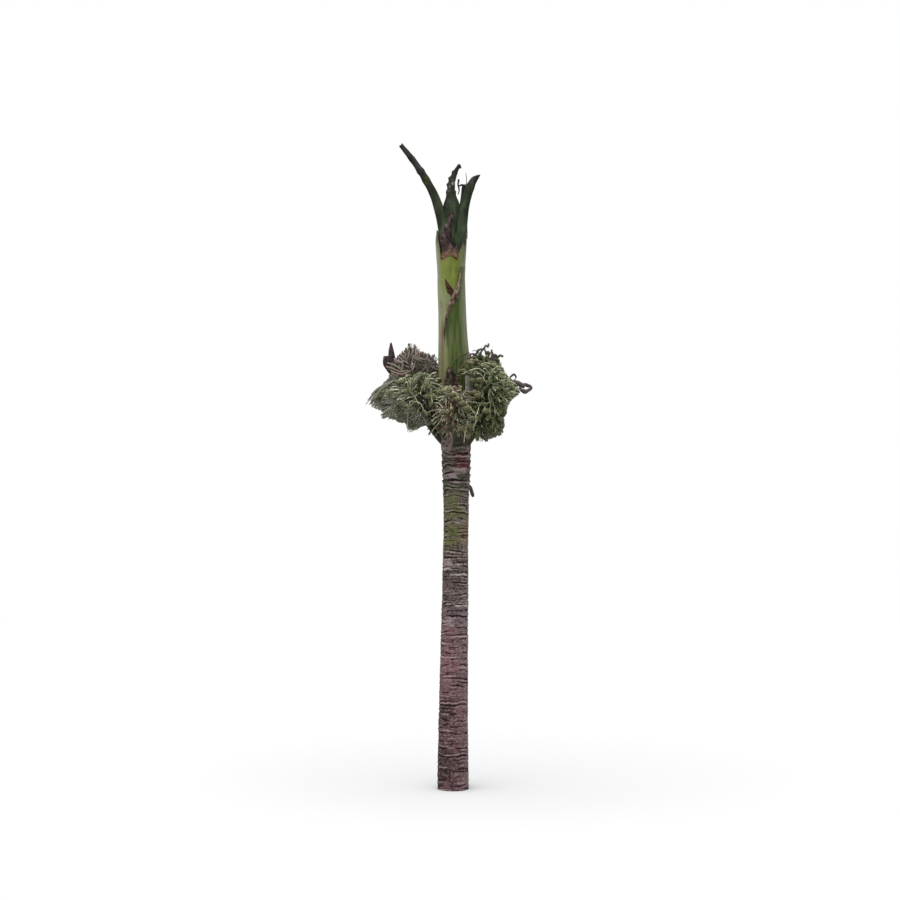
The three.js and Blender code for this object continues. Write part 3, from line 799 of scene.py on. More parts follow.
def bark():
    """The bark with its marks. The scars tilt, wander and break off as they go round."""
    heights = np.linspace(0, TRUNK.height, int(TRUNK.height / BARK.row_pitch) + 1)
    z, side = np.meshgrid(heights, np.arange(BARK.sides), indexing="ij")
    azimuth = 360 * side / BARK.sides
    place = around(trunk_radius(z), azimuth, z)
    lean = np.radians(azimuth - BARK.tilt_turn * z)
    level = z + BARK.tilt * np.sin(lean) * noise(place * UP, 160, 3) + layered(place, BARK.waves)
    share, groove = scars(place, level, z)
    wandering = np.concatenate([place[..., :2] + BARK.band_shift, level[..., None]], axis=-1)
    bands = layered(wandering, BARK.bands) + fine_lines(place, wandering)
    rough = 1 + 0.6 * noise(place, (30, 20), 11)
    ledge = smoothstep(z, *BARK.ledge_levels) * (share**2 - BARK.ledge_middle) * rough
    relief = BARK.band_height * bands - BARK.groove * groove + BARK.ledge * ledge
    radius = trunk_radius(z) - BARK.sink + relief + layered(place, BARK.lumps)
    marks = patch_marks(place, azimuth, level)
    # Low in the grooves and high on the ridges, for the bark's painted shade and painted highlights
    marks["relief"] = np.clip(0.5 + 0.4 * bands - 0.5 * groove + 0.25 * ledge, 0, 1)
    marks["cover"] = np.maximum.reduce([marks[kind] for kind in SMOOTH_PATCHES])
    return round_solid(around(radius, azimuth, z), **marks)


def leaf_base_scrap():
    """The dry scrap of an old leaf base that hangs on the trunk's right side."""
    edge = axis_x(FLAP.height) + trunk_radius(FLAP.height)
    route = [[edge + out * FLAP.reach, 0, FLAP.height - down * FLAP.drop] for out, down in FLAP_ROUTE]
    half_widths = FLAP.half_width * np.array(FLAP_WIDTHS)
    return blade(route, half_widths, FLAP_FACING, crumple=5, seed=4, thickness=8)


def build_trunk():
    piece("trunk_bark", [bark()], bark_finish(), "bark", "trunk")
    piece("leaf_base_scrap", [leaf_base_scrap()], husk_finish("leaf_base"), "dry_husk")


# Crownshaft: angles are from the front, and spans of heights and angles say where a thing fades in

OUTER_RIM = ([-319, -270, -180, -90, -45, -27], [3942, 3972, 3935, 3885, 3850, 3828])  # angles, heights
INNER_RIM = np.transpose([
    [-180, 4235], [-120, 4262], [-90, 4262], [-70, 4225], [-58, 4165], [-50, 4090],
    [-45, 4000], [-25, 4010], [-4, 4020], [12, 4010], [27, 3992], [33, 4050],
    [45, 4105], [60, 4160], [72, 4235], [88, 4285], [110, 4270], [180, 4235],
])
SHEATH = Sizes(
    rows=190,
    columns=130,
    fitting_rounds=6,
    overlap=14,
    overlap_height=60,
    edge_rise=6,
    edge_width=22,
    seam=(3290, 3430),
    veins=46,
    ridge=0.4,
    dent=2.0,
    thin_height=120,
    thin_rise=1,
    thin_wall=1.4,
)

# Colours of the older sheath: dark green past its dry edge, a tan stain beside it, fresh at its rim
SHADES = Sizes(
    dark_past_edge=26,
    dark_least=44,
    dark_angles=(10, -22),
    dark_heights=(2780, 3100),
    under_edge_angles=(0, 16),
    under_edge_heights=(3330, 3460),
    stain_angle=350,
    stain_width=7,
    stain_top=(3560, 3440),
    stain_foot=(3000, 3200),
    streak_angles=(200, 320),
    fresh_depths=(150, 10),
)
FRESH = Sizes(wander=6, left=(-62, -34), right=(46, 26))
YOUNG = Sizes(
    rows=150,
    pitch=2.5,
    foot=3300,
    frayed=5,
    noise_radius=110,
    inset=0.5,
    tuck=7,
    tuck_heights=(10, -60),  # from the older sheath's rim
    wall=5,
    veins=40,
    ridge=0.4,
    mouth=-5,
    wilt_depths=(120, 0),
    wilt_angles=(40, 70),
    wilt_wave=4,
    wilt_curl=12,
    lip=-8,
    lip_depth=7,
    lip_angles=(44, 34),
    lip_rise=3,
    dry_depth=30,
    dry_angles=(40, 56),
    tan=-34,
    tan_heights=(3950, 4010),
    tan_angles=(26, 6),
)
TEARS = [Sizes(angle=105, half=(56, 42), depths=(190, 90)), Sizes(angle=-80, half=(32, 22), depths=(120, 50))]

# The dry edge of the split from its top down: angle, height
LIP_ROUTE = [
    [41, 3930], [37, 3880], [30, 3805], [14, 3725],
    [-8, 3635], [-26, 3535], [-36, 3430], [-34, 3355],
]
LIP = Sizes(
    rows=100,
    columns=14,
    widths=[7, 11, 17, 30, 44, 46, 36, 27, 22, 18, 12, 4],  # along the route
    ragged=0.2,
    root=0.3,  # share of the width to the left of the route
    stand_off=3,
    rise=11,
    roll=(0.05, 0.8),  # half-turns across it
    crumple=2.2,
    wall=2.5,
)

# The dry corner of the left edge, folded over the young sheath: angle, height, half-width
CORNER = [[-27, 3842, 2], [-18, 3796, 15], [-7, 3750, 25], [0, 3702, 20], [5, 3640, 5]]

# The frill in the throat: height, from angle, to angle
FRILL_LEVELS = [
    [3990, -46, 42],
    [4050, -52, 43],
    [4090, -54, 34],
    [4125, -58, 15],
    [4190, -66, -3],
    [4265, -68, -8],
    [4300, -36, 3],
    [4345, -22, 12],
    [4390, 4, 24],
]
FRILL = Sizes(
    rows=110,
    columns=60,
    radius=107,
    wall=3,
    noise_radius=100,
    slant=(0.5, 0, 0),
    folds=((9, (24, 100), 1), (5, (10, 60), 2)),
    deepest=18,
    stiff_foot=(3995, 4080),
    lean_back=((11, (4000, 4090)), (46, (4110, 4400))),
    ragged=((5, 8, 4), (13, 28, 5)),
    arch=30,
    arch_share=0.14,
)


def shaft_radius(z):
    swell = bell(z, SHAFT.swell_height, SHAFT.swell_spread)
    return SHAFT.waist_radius + SHAFT.swell * swell + SHAFT.flare * smoothstep(z, *SHAFT.flare_levels)


def lip_angle(z):
    """Where the dry edge of the split lies at a height."""
    angle, level = spline(LIP_ROUTE, np.linspace(0, 1, 80)).T
    order = np.argsort(level)
    return np.interp(z, level[order], angle[order])


def left_margin_angle(z):
    """Where the left edge of the split lies: above its foot in sight, below it under the dry edge."""
    foot = np.array([SPLIT.foot_x, SPLIT.foot_height])
    bow = np.array([SPLIT.left_x * SPLIT.left_bow, lerp(SPLIT.foot_height, SHAFT.top, SPLIT.bow_at)])
    edge_x, level = bezier(foot, bow, np.array([SPLIT.left_x, SHAFT.top]), np.linspace(0, 1, 60)).T
    x = np.interp(z, level, edge_x) + axis_x(SPLIT.foot_height) - axis_x(z)
    seen = np.degrees(np.arcsin(np.clip(x / shaft_radius(z), -1, 1)))
    hidden = smoothstep(z, SPLIT.foot_height, SPLIT.foot_height - SHEATH.overlap_height)
    return lerp(seen, lip_angle(z) + SHEATH.overlap, hidden)


def freshness(angle, place):
    """How yellow-green the sheaths are round the front."""
    wavy = angle + FRESH.wander * noise(place, (60, 200), 6)
    return smoothstep(wavy, *FRESH.left) * smoothstep(wavy, *FRESH.right)


def sheath_marks(place, angle, z, rim):
    """Where the older sheath is dark green, tan or fresh."""
    edge = lip_angle(z)
    beside = (angle + 360 - edge) % 360
    past = angle + 360 - np.maximum(edge + SHADES.dark_past_edge, SHADES.dark_least)
    dark = smoothstep(past, *SHADES.dark_angles) * smoothstep(z, *SHADES.dark_heights)
    under = smoothstep(beside, *SHADES.under_edge_angles)
    dark = dark * lerp(under, 1, smoothstep(z, *SHADES.under_edge_heights))
    stain = bell(beside, SHADES.stain_angle, SHADES.stain_width)
    stain = stain * smoothstep(z, *SHADES.stain_top) * smoothstep(z, *SHADES.stain_foot)
    streaks = smoothstep(noise(place, (16, 240), 8), 0.25, 0.7) * smoothstep(beside, *SHADES.streak_angles)
    return {
        "deep": np.clip(dark * (0.9 + 0.3 * noise(place, (14, 200), 7)), 0, 1),
        "tan": np.clip(0.8 * stain + 0.6 * streaks, 0, 1),
        "fresh": freshness(angle, place) * smoothstep(rim - z, *SHADES.fresh_depths),
    }


def outer_sheath():
    """The split grey-green tube: its dry right edge lies over its left one below the split's foot."""
    share, column = shares(SHEATH.rows, SHEATH.columns)
    angle = lerp(OUTER_RIM[0][-1], OUTER_RIM[0][0], column)
    for _ in range(SHEATH.fitting_rounds):
        rim = np.interp(angle, *OUTER_RIM)
        z = lerp(TRUNK.height, rim, share)
        angle = lerp(left_margin_angle(z), lip_angle(z) - 360, column)
    radius = shaft_radius(z)
    place = from_front(radius, angle, z)
    edge = bell((1 - column) * 2 * np.pi * radius, 0, SHEATH.edge_width) * smoothstep(z, *SHEATH.seam)
    veins = np.sin(np.radians(angle) * SHEATH.veins + 3 * noise(place, (60, 300), 5))
    relief = SHEATH.edge_rise * edge + SHEATH.ridge * veins + SHEATH.dent * noise(place, (60, 180), 6)
    thin = smoothstep(rim - z, SHEATH.thin_height, 0)
    radius = radius + lerp(relief, SHEATH.thin_rise, thin)
    wall = lerp(SHAFT.wall, SHEATH.thin_wall, thin)
    return curved_sheet(radius, wall, angle, z, **sheath_marks(place, angle, z, rim))


def inner_sheath():
    """The younger sheath: yellow-green in the split, wide open at the front of the throat."""
    spans = np.linspace(0, 1, YOUNG.rows)
    share, angle = np.meshgrid(spans, np.arange(-180, 180, YOUNG.pitch), indexing="ij")
    rim = np.interp(angle, *INNER_RIM)
    rim = rim + YOUNG.frayed * noise(from_front(YOUNG.noise_radius, angle, rim), (14, 60), 1)
    z = lerp(YOUNG.foot, rim, share)
    depth = rim - z
    last = OUTER_RIM[0][-1]
    cover = np.interp((angle - last) % 360 + last - 360, *OUTER_RIM)
    radius = shaft_radius(z) - YOUNG.inset - YOUNG.tuck * smoothstep(z - cover, *YOUNG.tuck_heights)
    place = from_front(radius, angle, z)
    aside = np.abs(angle - YOUNG.mouth)
    wilt = smoothstep(depth, *YOUNG.wilt_depths) * smoothstep(aside, *YOUNG.wilt_angles)
    veins = np.sin(np.radians(angle) * YOUNG.veins + 2 * noise(place, 90, 3))
    radius = radius + YOUNG.ridge * veins + noise(place, (50, 120), 4)
    radius = radius + YOUNG.wilt_wave * wilt * noise(place, (40, 80), 5) - YOUNG.wilt_curl * wilt**2
    lip = bell(depth, 0, YOUNG.lip_depth) * smoothstep(np.abs(angle - YOUNG.lip), *YOUNG.lip_angles)
    dry = bell(depth, 0, YOUNG.dry_depth) * smoothstep(aside, *YOUNG.dry_angles)
    for tear in TEARS:
        torn = smoothstep(depth, *tear.depths) * smoothstep(np.abs(angle - tear.angle), *tear.half)
        dry = np.maximum(dry, torn * (0.8 + 0.5 * noise(place, (12, 60), 7)))
    tan = smoothstep(z, *YOUNG.tan_heights) * smoothstep(np.abs(angle - YOUNG.tan), *YOUNG.tan_angles)
    front = from_front(radius + YOUNG.lip_rise * lip, angle, z)
    back = from_front(radius - YOUNG.wall, angle, z)
    rim_mark = np.clip(0.9 * lip + 0.85 * dry, 0, 1)
    marks = {"fresh": freshness(angle, place), "tan": 0.35 * tan, "rim": rim_mark}
    both = {name: np.concatenate([value, value[::-1]]) for name, value in marks.items()}
    return round_solid(np.concatenate([front, back[::-1]]), **both)


def sheath_lip():
    """The dry edge of the split, rolled outwards and to the right."""
    t, share = shares(LIP.rows, LIP.columns)
    angle, z = np.moveaxis(spline(LIP_ROUTE, t), -1, 0)
    middle = from_front(shaft_radius(z), angle, z)
    forward = unit(np.gradient(middle, axis=0))
    out = unit(middle - around(0, 0, z))
    right = np.cross(out, forward)
    width = along_list(LIP.widths, t) * (1 + LIP.ragged * noise(middle, 40, 9))
    place = middle + (width * (share - LIP.root))[..., None] * right
    bump = LIP.crumple * crumpled(place, (16, 80), (7, 24), 10)
    rise = LIP.rise * (width / max(LIP.widths)) ** 0.5 * np.sin(np.pi * lerp(*LIP.roll, share))
    front = place + (LIP.stand_off + rise + bump)[..., None] * out
    # Fold mark: a painted highlight on the left, painted shade on the right under the roll, a painted
    # highlight at the right edge, and painted shade in the crumples
    fold = np.clip(0.05 + 0.8 * share - bump / 8 - 0.5 * smoothstep(share, 0.9, 1.0), 0, 1)
    return thick_sheet(front, front - LIP.wall * out, fold=fold)


def dry_corner():
    angle, z, half_widths = np.transpose(CORNER)
    route = from_front(shaft_radius(z) - 1, angle, z)
    return blade(route, half_widths, FRONT, crumple=1.5, seed=13, thickness=2, cup=0.1)


def ligule():
    """The crumpled dry frill that stands in the throat."""
    t, share = shares(FRILL.rows, FRILL.columns)
    z, start, end = along_rows(FRILL_LEVELS, t)
    angle = lerp(start, end, share)
    place = from_front(FRILL.noise_radius, angle, z)
    folds = layered(place + np.array(FRILL.slant) * place[..., 2:], FRILL.folds) + noise(place, 7, 3)
    lean_back = sum(reach * smoothstep(z, *heights) for reach, heights in FRILL.lean_back)
    radius = FRILL.radius - lean_back + folds * lerp(0.3, 1.0, smoothstep(z, *FRILL.stiff_foot))
    angle = angle + layered(place, FRILL.ragged) * np.abs(2 * share - 1) ** 3
    z = z + FRILL.arch * np.sin(np.pi * share) * smoothstep(t, FRILL.arch_share, 0.0)
    # Fold mark: painted shade in the folds, painted highlights on the crests
    return curved_sheet(radius, FRILL.wall, angle, z, fold=np.clip(0.55 - folds / FRILL.deepest, 0, 1))


def build_shaft():
    piece("outer_sheath_skin", [outer_sheath()], sheath_finish(), "sheath", "outer_sheath")
    piece("inner_sheath_skin", [inner_sheath()], young_sheath_finish(), "young_sheath", "inner_sheath")
    piece("sheath_lip_roll", [sheath_lip()], husk_finish("dry_edge"), "dry_husk", "sheath_lip")
    piece("dry_corner", [dry_corner()], husk_finish("dry_corner"), "dry_husk")
    piece("ligule_frill", [ligule()], husk_finish("frill"), "dry_husk", "ligule")


# Bracts against the foot of the shaft: height, from angle, to angle, stand-off

BRACT_FRONT = [
    [2760, -38, 4, 3],
    [2940, -40, 14, 6],
    [3040, -34, 14, 12],
    [3095, -27, 0, 15],
    [3140, -18, -12, 17],
]
BRACT_SIDE = [[2720, 52, 80, 3], [2920, 36, 80, 8], [3070, 33, 70, 14], [3112, 42, 70, 20]]
BRACT = Sizes(rows=50, columns=24, gap=4, wall=3, cup=9, cupped=(0.1, 0.8), pale_edge=0.4)


def bract(levels, crumple, seed):
    """A dry bract: a curved plate whose edges curl out and whose surface is crumpled."""
    t, share = shares(BRACT.rows, BRACT.columns)
    z, start, end, stand_off = along_rows(levels, t)
    angle = lerp(start, end, share)
    across = np.abs(2 * share - 1)
    folds = crumple * crumpled(from_front(shaft_radius(z), angle, z), (16, 60), (7, 24), seed)
    cup = BRACT.cup * across**2 * smoothstep(t, *BRACT.cupped)
    radius = shaft_radius(z) + BRACT.gap + stand_off + folds + cup
    # Fold mark: painted shade in the folds, painted highlights on the crests, and paler along the curled
    # edges
    fold = np.clip(0.55 - folds / (2 * crumple) - BRACT.pale_edge * across**6, 0, 1)
    return curved_sheet(radius, BRACT.wall, angle, z, fold=fold)


def build_bracts():
    front = bract(BRACT_FRONT, crumple=4, seed=31)
    side = bract(BRACT_SIDE, crumple=2, seed=35)
    piece("bract_front_husk", [front], husk_finish("dark_bract"), "dry_husk", "bract_front")
    piece("bract_side_husk", [side], husk_finish("pale_bract"), "pale_husk", "bract_side")


# Leaf stalks: points of the middle line from the shaft's axis, half-widths there, knots of
# [place, size, length], the stretch over which a stalk turns old, and its fresh scrapes

STALKS = [
    Sizes(
        name="stalk_left",
        line=[[-48, -2, 4075], [-62, -8, 4300], [-136, -16, 4545], [-263, -28, 4770], [-397, -40, 4946]],
        half_widths=[54, 48, 35, 26, 19],
        facing=(0.25, -1, 0),
        depth=0.75,
        slant=-0.25,
        old=(0.52, 0.78),
        knots=[[0.63, 0.14, 0.03], [0.71, 0.24, 0.02], [0.84, 0.16, 0.03]],
        scrapes=[0.62],
        twist=0.0,
    ),
    Sizes(
        name="stalk_right",
        line=[[54, -22, 4075], [86, -26, 4320], [119, -32, 4490], [158, -38, 4616], [198, -44, 4686]],
        half_widths=[54, 46, 34, 33, 25],
        facing=(-0.3, -1, 0),
        depth=0.75,
        slant=-1.1,
        old=(0.5, 1.1),
        knots=[[0.7, 0.1, 0.05]],
        scrapes=[],
        twist=0.0,
    ),
    Sizes(
        name="stalk_back",
        line=[[24, 56, 4075], [48, 62, 4300], [94, 62, 4500], [108, 58, 4655]],
        half_widths=[50, 38, 26, 20],
        facing=(0, 1, 0),
        depth=0.62,
        slant=0.5,
        old=(0.5, 1.2),
        knots=[],
        scrapes=[],
        twist=0.0,
    ),
    Sizes(
        name="spear",
        line=[[2, -8, 4075], [8, -8, 4290], [4, -8, 4480], [2, -10, 4630], [36, -12, 4740], [70, -12, 4794]],
        half_widths=[50, 54, 58, 61, 64, 66, 67, 66, 57, 44, 35, 30, 26, 25, 23, 20, 16, 14, 12, 13, 9],
        facing=FRONT,
        depth=0.5,
        slant=0.3,
        old=(0.4, 0.7),
        knots=[[0.52, 0.2, 0.02], [0.6, 0.25, 0.02], [0.68, 0.3, 0.02], [0.78, 0.3, 0.02], [0.95, 0.3, 0.03]],
        scrapes=[],
        twist=1.0,
    ),
]
STALK = Sizes(
    steps=120,
    sides=40,
    inner_depth=0.35,
    ridges=9,
    ridge=0.9,
    lump=0.06,
    noise_radius=40,
    twist_turn=5,
    twisted=(0.45, 1.0),
    knot_turn=9,
    ragged=9,
    cut=(0.92, 1.0),
    scrape_length=0.03,
    # Where and how long the painted sheen on the twisted spear is
    shine_at=0.62,
    shine_length=0.08,
    least_height=4015,
)

# Torn fibres at the stalks' tops: points from the shaft's axis, with half-width
FIBRES = [
    ([[126, 20, 4200], [124, 56, 4480], [124, 60, 4640], [123, 60, 4700], [118, 60, 4756]], 4.5),
    ([[118, 58, 4646], [86, 56, 4654], [58, 54, 4644]], 11.0),
    ([[60, 54, 4700], [58, 54, 4650], [64, 54, 4612], [57, 54, 4576]], 8.0),
    ([[60, -12, 4788], [74, -12, 4784], [80, -12, 4766]], 6.0),
]
FIBRE = Sizes(steps=24, sides=8, shake=2, shake_size=14, taper=0.5)


def throat_spline(points, t):
    """The curve through points that are given from the shaft's axis at the throat."""
    return spline(np.array(points) + [axis_x(THROAT_HEIGHT), 0, 0], t)


def stalk(spec, seed):
    """A cut leaf stalk: rounded outside, flatter inside, ridged along it and ragged at its cut end."""
    steps = np.linspace(0, 1, STALK.steps)
    t, turn = np.meshgrid(steps, np.linspace(0, 2 * np.pi, STALK.sides, endpoint=False), indexing="ij")
    middle = throat_spline(spec.line, t)
    forward = unit(np.gradient(middle, axis=0))
    facing = np.array(spec.facing, float)
    over = unit(facing - forward * (forward @ facing)[..., None])
    across = np.cross(over, forward)
    half = along_list(spec.half_widths, t)
    surface = middle + STALK.noise_radius * np.stack([np.cos(turn), np.sin(turn), 0 * t], -1)
    spiral = turn + spec.twist * STALK.twist_turn * smoothstep(t, *STALK.twisted)
    ridge = STALK.ridge * (1 + 2 * spec.twist) * np.sin(STALK.ridges * spiral + 2 * noise(middle, 120, seed))
    uneven = ridge + STALK.lump * half * noise(surface, (40, 70), seed + 1)
    knot = sum(size * bell(t, at, length) for at, size, length in spec.knots)
    knot = knot * (1 + spec.twist * np.cos(turn + STALK.knot_turn * t))
    wide = (half * (1 + knot) + uneven) * np.cos(turn)
    bulge = (half + uneven) * np.where(np.sin(turn) > 0, spec.depth, STALK.inner_depth) * np.sin(turn)
    ragged = STALK.ragged * noise(surface, 9, seed + 2)
    cut = smoothstep(t, *STALK.cut) * (spec.slant * half * np.cos(turn) + ragged)
    points = middle + wide[..., None] * across + bulge[..., None] * over + cut[..., None] * forward
    points[..., 2] = np.maximum(points[..., 2], STALK.least_height)
    rubbed = sum(bell(t, at, STALK.scrape_length) for at in spec.scrapes)
    scrape = np.clip(rubbed * smoothstep(noise(surface, 14, seed + 3), -0.3, 0.4), 0, 1)
    # Painted sheen on the twisted part of the spear
    shine = spec.twist * bell(t, STALK.shine_at, STALK.shine_length)
    shine = shine * smoothstep(noise(surface, 16, seed + 4), 0.05, 0.5)
    return round_solid(points, old=smoothstep(t, *spec.old), scrape=scrape, shine=shine)


def stalk_fibres():
    t = np.linspace(0, 1, FIBRE.steps)
    lines = [shaken(throat_spline(points, t), FIBRE.shake_size, FIBRE.shake, 0) for points, _ in FIBRES]
    radii = np.array([half_width * (1 - FIBRE.taper * t) for _, half_width in FIBRES])
    points, faces, _ = tubes(lines, radii, FIBRE.sides)
    return points, faces, {"fold": np.clip(0.5 + 0.4 * noise(points, 12, 9), 0, 1)}


def build_stalks():
    finish = stalk_finish()
    for index, spec in enumerate(STALKS):
        piece(f"{spec.name}_skin", [stalk(spec, 40 + 4 * index)], finish, "stalk", spec.name)
    piece("stalk_fibres", [stalk_fibres()], husk_finish("fibre"), "dry_husk")


# Fruit clusters

# How far they reach as the eye sees them: heights, furthest left, furthest right
OUTLINE = [
    (2570, -60, 100),
    (2587, -95, 250),
    (2632, -143, 371),
    (2645, -350, 385),
    (2722, -365, 396),
    (2745, -390, 396),
    (2767, -550, 396),
    (2790, -560, 410),
    (2812, -535, 420),
    (2857, -646, 428),
    (2902, -640, 450),
    (2947, -604, 508),
    (2992, -568, 528),
    (3037, -545, 484),
    (3082, -500, 438),
    (3172, -488, 380),
    (3217, -460, 376),
    (3262, -425, 300),
    (3330, -360, 270),
]
SHOULDER = Sizes(left=3165, right=3240)  # where they leave the shaft, rising at 45 degrees from there

# Openings among them, as the eye sees them, and how far back they reach
OPENINGS = [
    Sizes(x=(76, 122), z=(2985, 3115), back=0),
    Sizes(x=(-88, -34), z=(3045, 3200), back=0),
    Sizes(x=(-236, -190), z=(2635, 2704), back=600),
]

# Limbs: radius, tip radius, sides and roughness of each kind, and degrees by which they may leave the wedge
LIMB = Sizes(
    stem=(STEM.radius, STEM.tip_radius, 18, 0.1),
    bough=(0.8 * BOUGH.radius, 0.7 * BOUGH.tip_radius, 10, 0.16),
    twig=(0.6 * TWIG.radius, 0.5 * TWIG.tip_radius, 8, 0.16),
    steps=28,
    cuts=np.linspace(0.1, 1, 37),
    loose=90,
)
THREAD = Sizes(
    on_bough=24,
    on_twig=14,
    steps=18,
    sides=5,
    radius=5.0,
    tip_radius=3.0,
    openness=(0.6, 1.3),
    bend=0.6,
    waves=1.6,
    loose=14,
)
THREAD_STEPS = np.linspace(0, 1, THREAD.steps)
FRUIT = Sizes(
    length=64,
    radius=18,
    sides=12,
    rings=9,
    foot=0.12,
    taper=0.86,
    roundness=0.72,
    tip=0.06,
    sizes=(0.85, 1.1),
    spacing=44,
    margin=8,
    places=(0.6, 0.8, 1.0),
    along=0.5,
    out=0.4,
    astray=0.5,
    sag=0.2,
)
CAP_OUTLINE = np.array([[-0.05, 0.3], [-0.02, 0.55], [0.06, 0.78], [0.15, 0.9], [0.17, 0.84], [0.12, 0.6]])

# How the threads stand on a limb: where they start along it, their angle from it there and at its
# tip, their length, how far they droop and wave, whether they lie flat to either side, how dense they
# are, and the share and rounds by which they are shortened
BRUSH = {"flat": False, "dense": 1.0, "trim": (0.92, 20)}
FLAT = {"flat": True, "dense": 2.4, "trim": (0.98, 70)}
HABITS = {
    "bush": Sizes(first=0.2, opening=(64, 28), reach=(160, 330), droop=0.4, wave=6, **BRUSH),
    "tassel": Sizes(first=0.1, opening=(24, 8), reach=(220, 380), droop=0.28, wave=3, **BRUSH),
    "comb": Sizes(first=0.3, opening=(70, 16), reach=(150, 270), droop=0.0, wave=6, **FLAT),
}

# Sprays of one kind: habit, colours of the threads and of the fruits, and how readily they bear
SPRAYS = {
    "green": ("bush", ("pale", "sage", "straw"), ("green", "olive"), 0.42),
    # Darker threads: painted shade under the clusters
    "shade": ("bush", ("sage", "straw", "straw"), ("green", "olive"), 0.42),
    "drape": ("tassel", ("pale", "ash", "sage"), ("green", "olive"), 0.25),
    "ashen": ("tassel", ("ash", "sage", "ash"), ("olive",), 0.05),
    "dry": ("comb", ("pink", "umber", "ash", "straw", "umber"), ("olive",), 0.0),
    "flower": ("bush", ("pink", "pale", "sage", "rust"), ("olive", "green"), 0.14),
}

# Kinds of sprays on each cluster's low, middle and high boughs, and the angles between these
KINDS = {
    "front": ("flower", "flower", "flower"),
    # Its lowest boughs take the darker threads of painted shade
    "front_right": ("shade", "green", "green"),
    "right": ("green", "drape", "green"),
    "back_right": ("green", "drape", "dry"),
    "back": ("ashen", "green", "green"),
    "back_left": ("ashen", "drape", "dry"),
    "left": ("ashen", "ashen", "dry"),
    "front_left": ("ashen", "drape", "green"),
}
KIND_ANGLES = (-20, 42)
PALE_STEMS = ("front_right", "back")

# Base colours with their shades
THREAD_COLOURS = {
    "pale": ((212, 212, 180), (170, 170, 136)),
    "sage": ((140, 146, 112), (106, 114, 80)),
    "straw": ((92, 98, 62), (68, 74, 44)),
    "pink": ((182, 160, 150), (140, 118, 110)),
    "ash": ((158, 152, 144), (120, 116, 106)),
    "umber": ((94, 80, 74), (70, 59, 56)),
    "rust": ((116, 92, 70), (92, 74, 56)),
}
FRUIT_COLOURS = {"green": ((84, 96, 56), (110, 118, 78)), "olive": ((94, 94, 62), (122, 118, 84))}
CAP_COLOURS = ((160, 156, 122), (126, 122, 88))
BOUGH_COLOURS = ((58, 58, 40), (84, 80, 58))
TENDRIL_COLOURS = ((84, 76, 72), (120, 110, 104))

# Dark bracts that stand up out of one cluster: points from the spike's tip, half-widths
SPIKE_ROUTES = [
    ([[60, 20, -330], [30, 10, -200], [10, 0, -110], [2, 0, -30], [0, 0, 34]], [8, 30, 32, 21, 6]),
    ([[50, 10, -260], [0, 0, -190], [-32, -10, -130], [-38, -12, -74]], [8, 24, 30, 20]),
]

# Dry tendrils that leave the clusters in front and to the right: half-width and points
TENDRILS = [
    (4, [[112, -120, 3257], [154, -140, 3229], [140, -150, 3193], [92, -150, 3144]]),
    (10, [[118, -50, 3190], [140, -55, 3258], [178, -60, 3262], [206, -60, 3292], [230, -60, 3288]]),
    (8, [[206, -60, 3240], [230, -60, 3288], [252, -60, 3322], [264, -60, 3314], [278, -60, 3342]]),
    (14, [[210, -250, 2690], [228, -280, 2640], [240, -290, 2590], [246, -290, 2545]]),
    (9, [[300, -60, 3140], [299, -60, 3230], [306, -60, 3262], [299, -60, 3292]]),
    (11, [[306, -60, 3180], [322, -60, 3248], [350, -60, 3238], [368, -60, 3252], [384, -60, 3236]]),
    (8, [[400, -30, 3010], [440, -30, 3082], [462, -30, 3107],
         [481, -30, 3103], [476, -30, 3062], [452, -30, 3052]]),
    (22, [[380, -40, 3020], [440, -40, 3040], [500, -40, 3030], [550, -40, 3010]]),
    (15, [[520, -40, 3012], [560, -40, 3028], [598, -40, 2998],
          [566, -40, 2974], [528, -40, 2986], [520, -40, 3012]]),
]
TENDRIL = Sizes(steps=40, sides=7, shake=7, shake_size=22, seed=70)

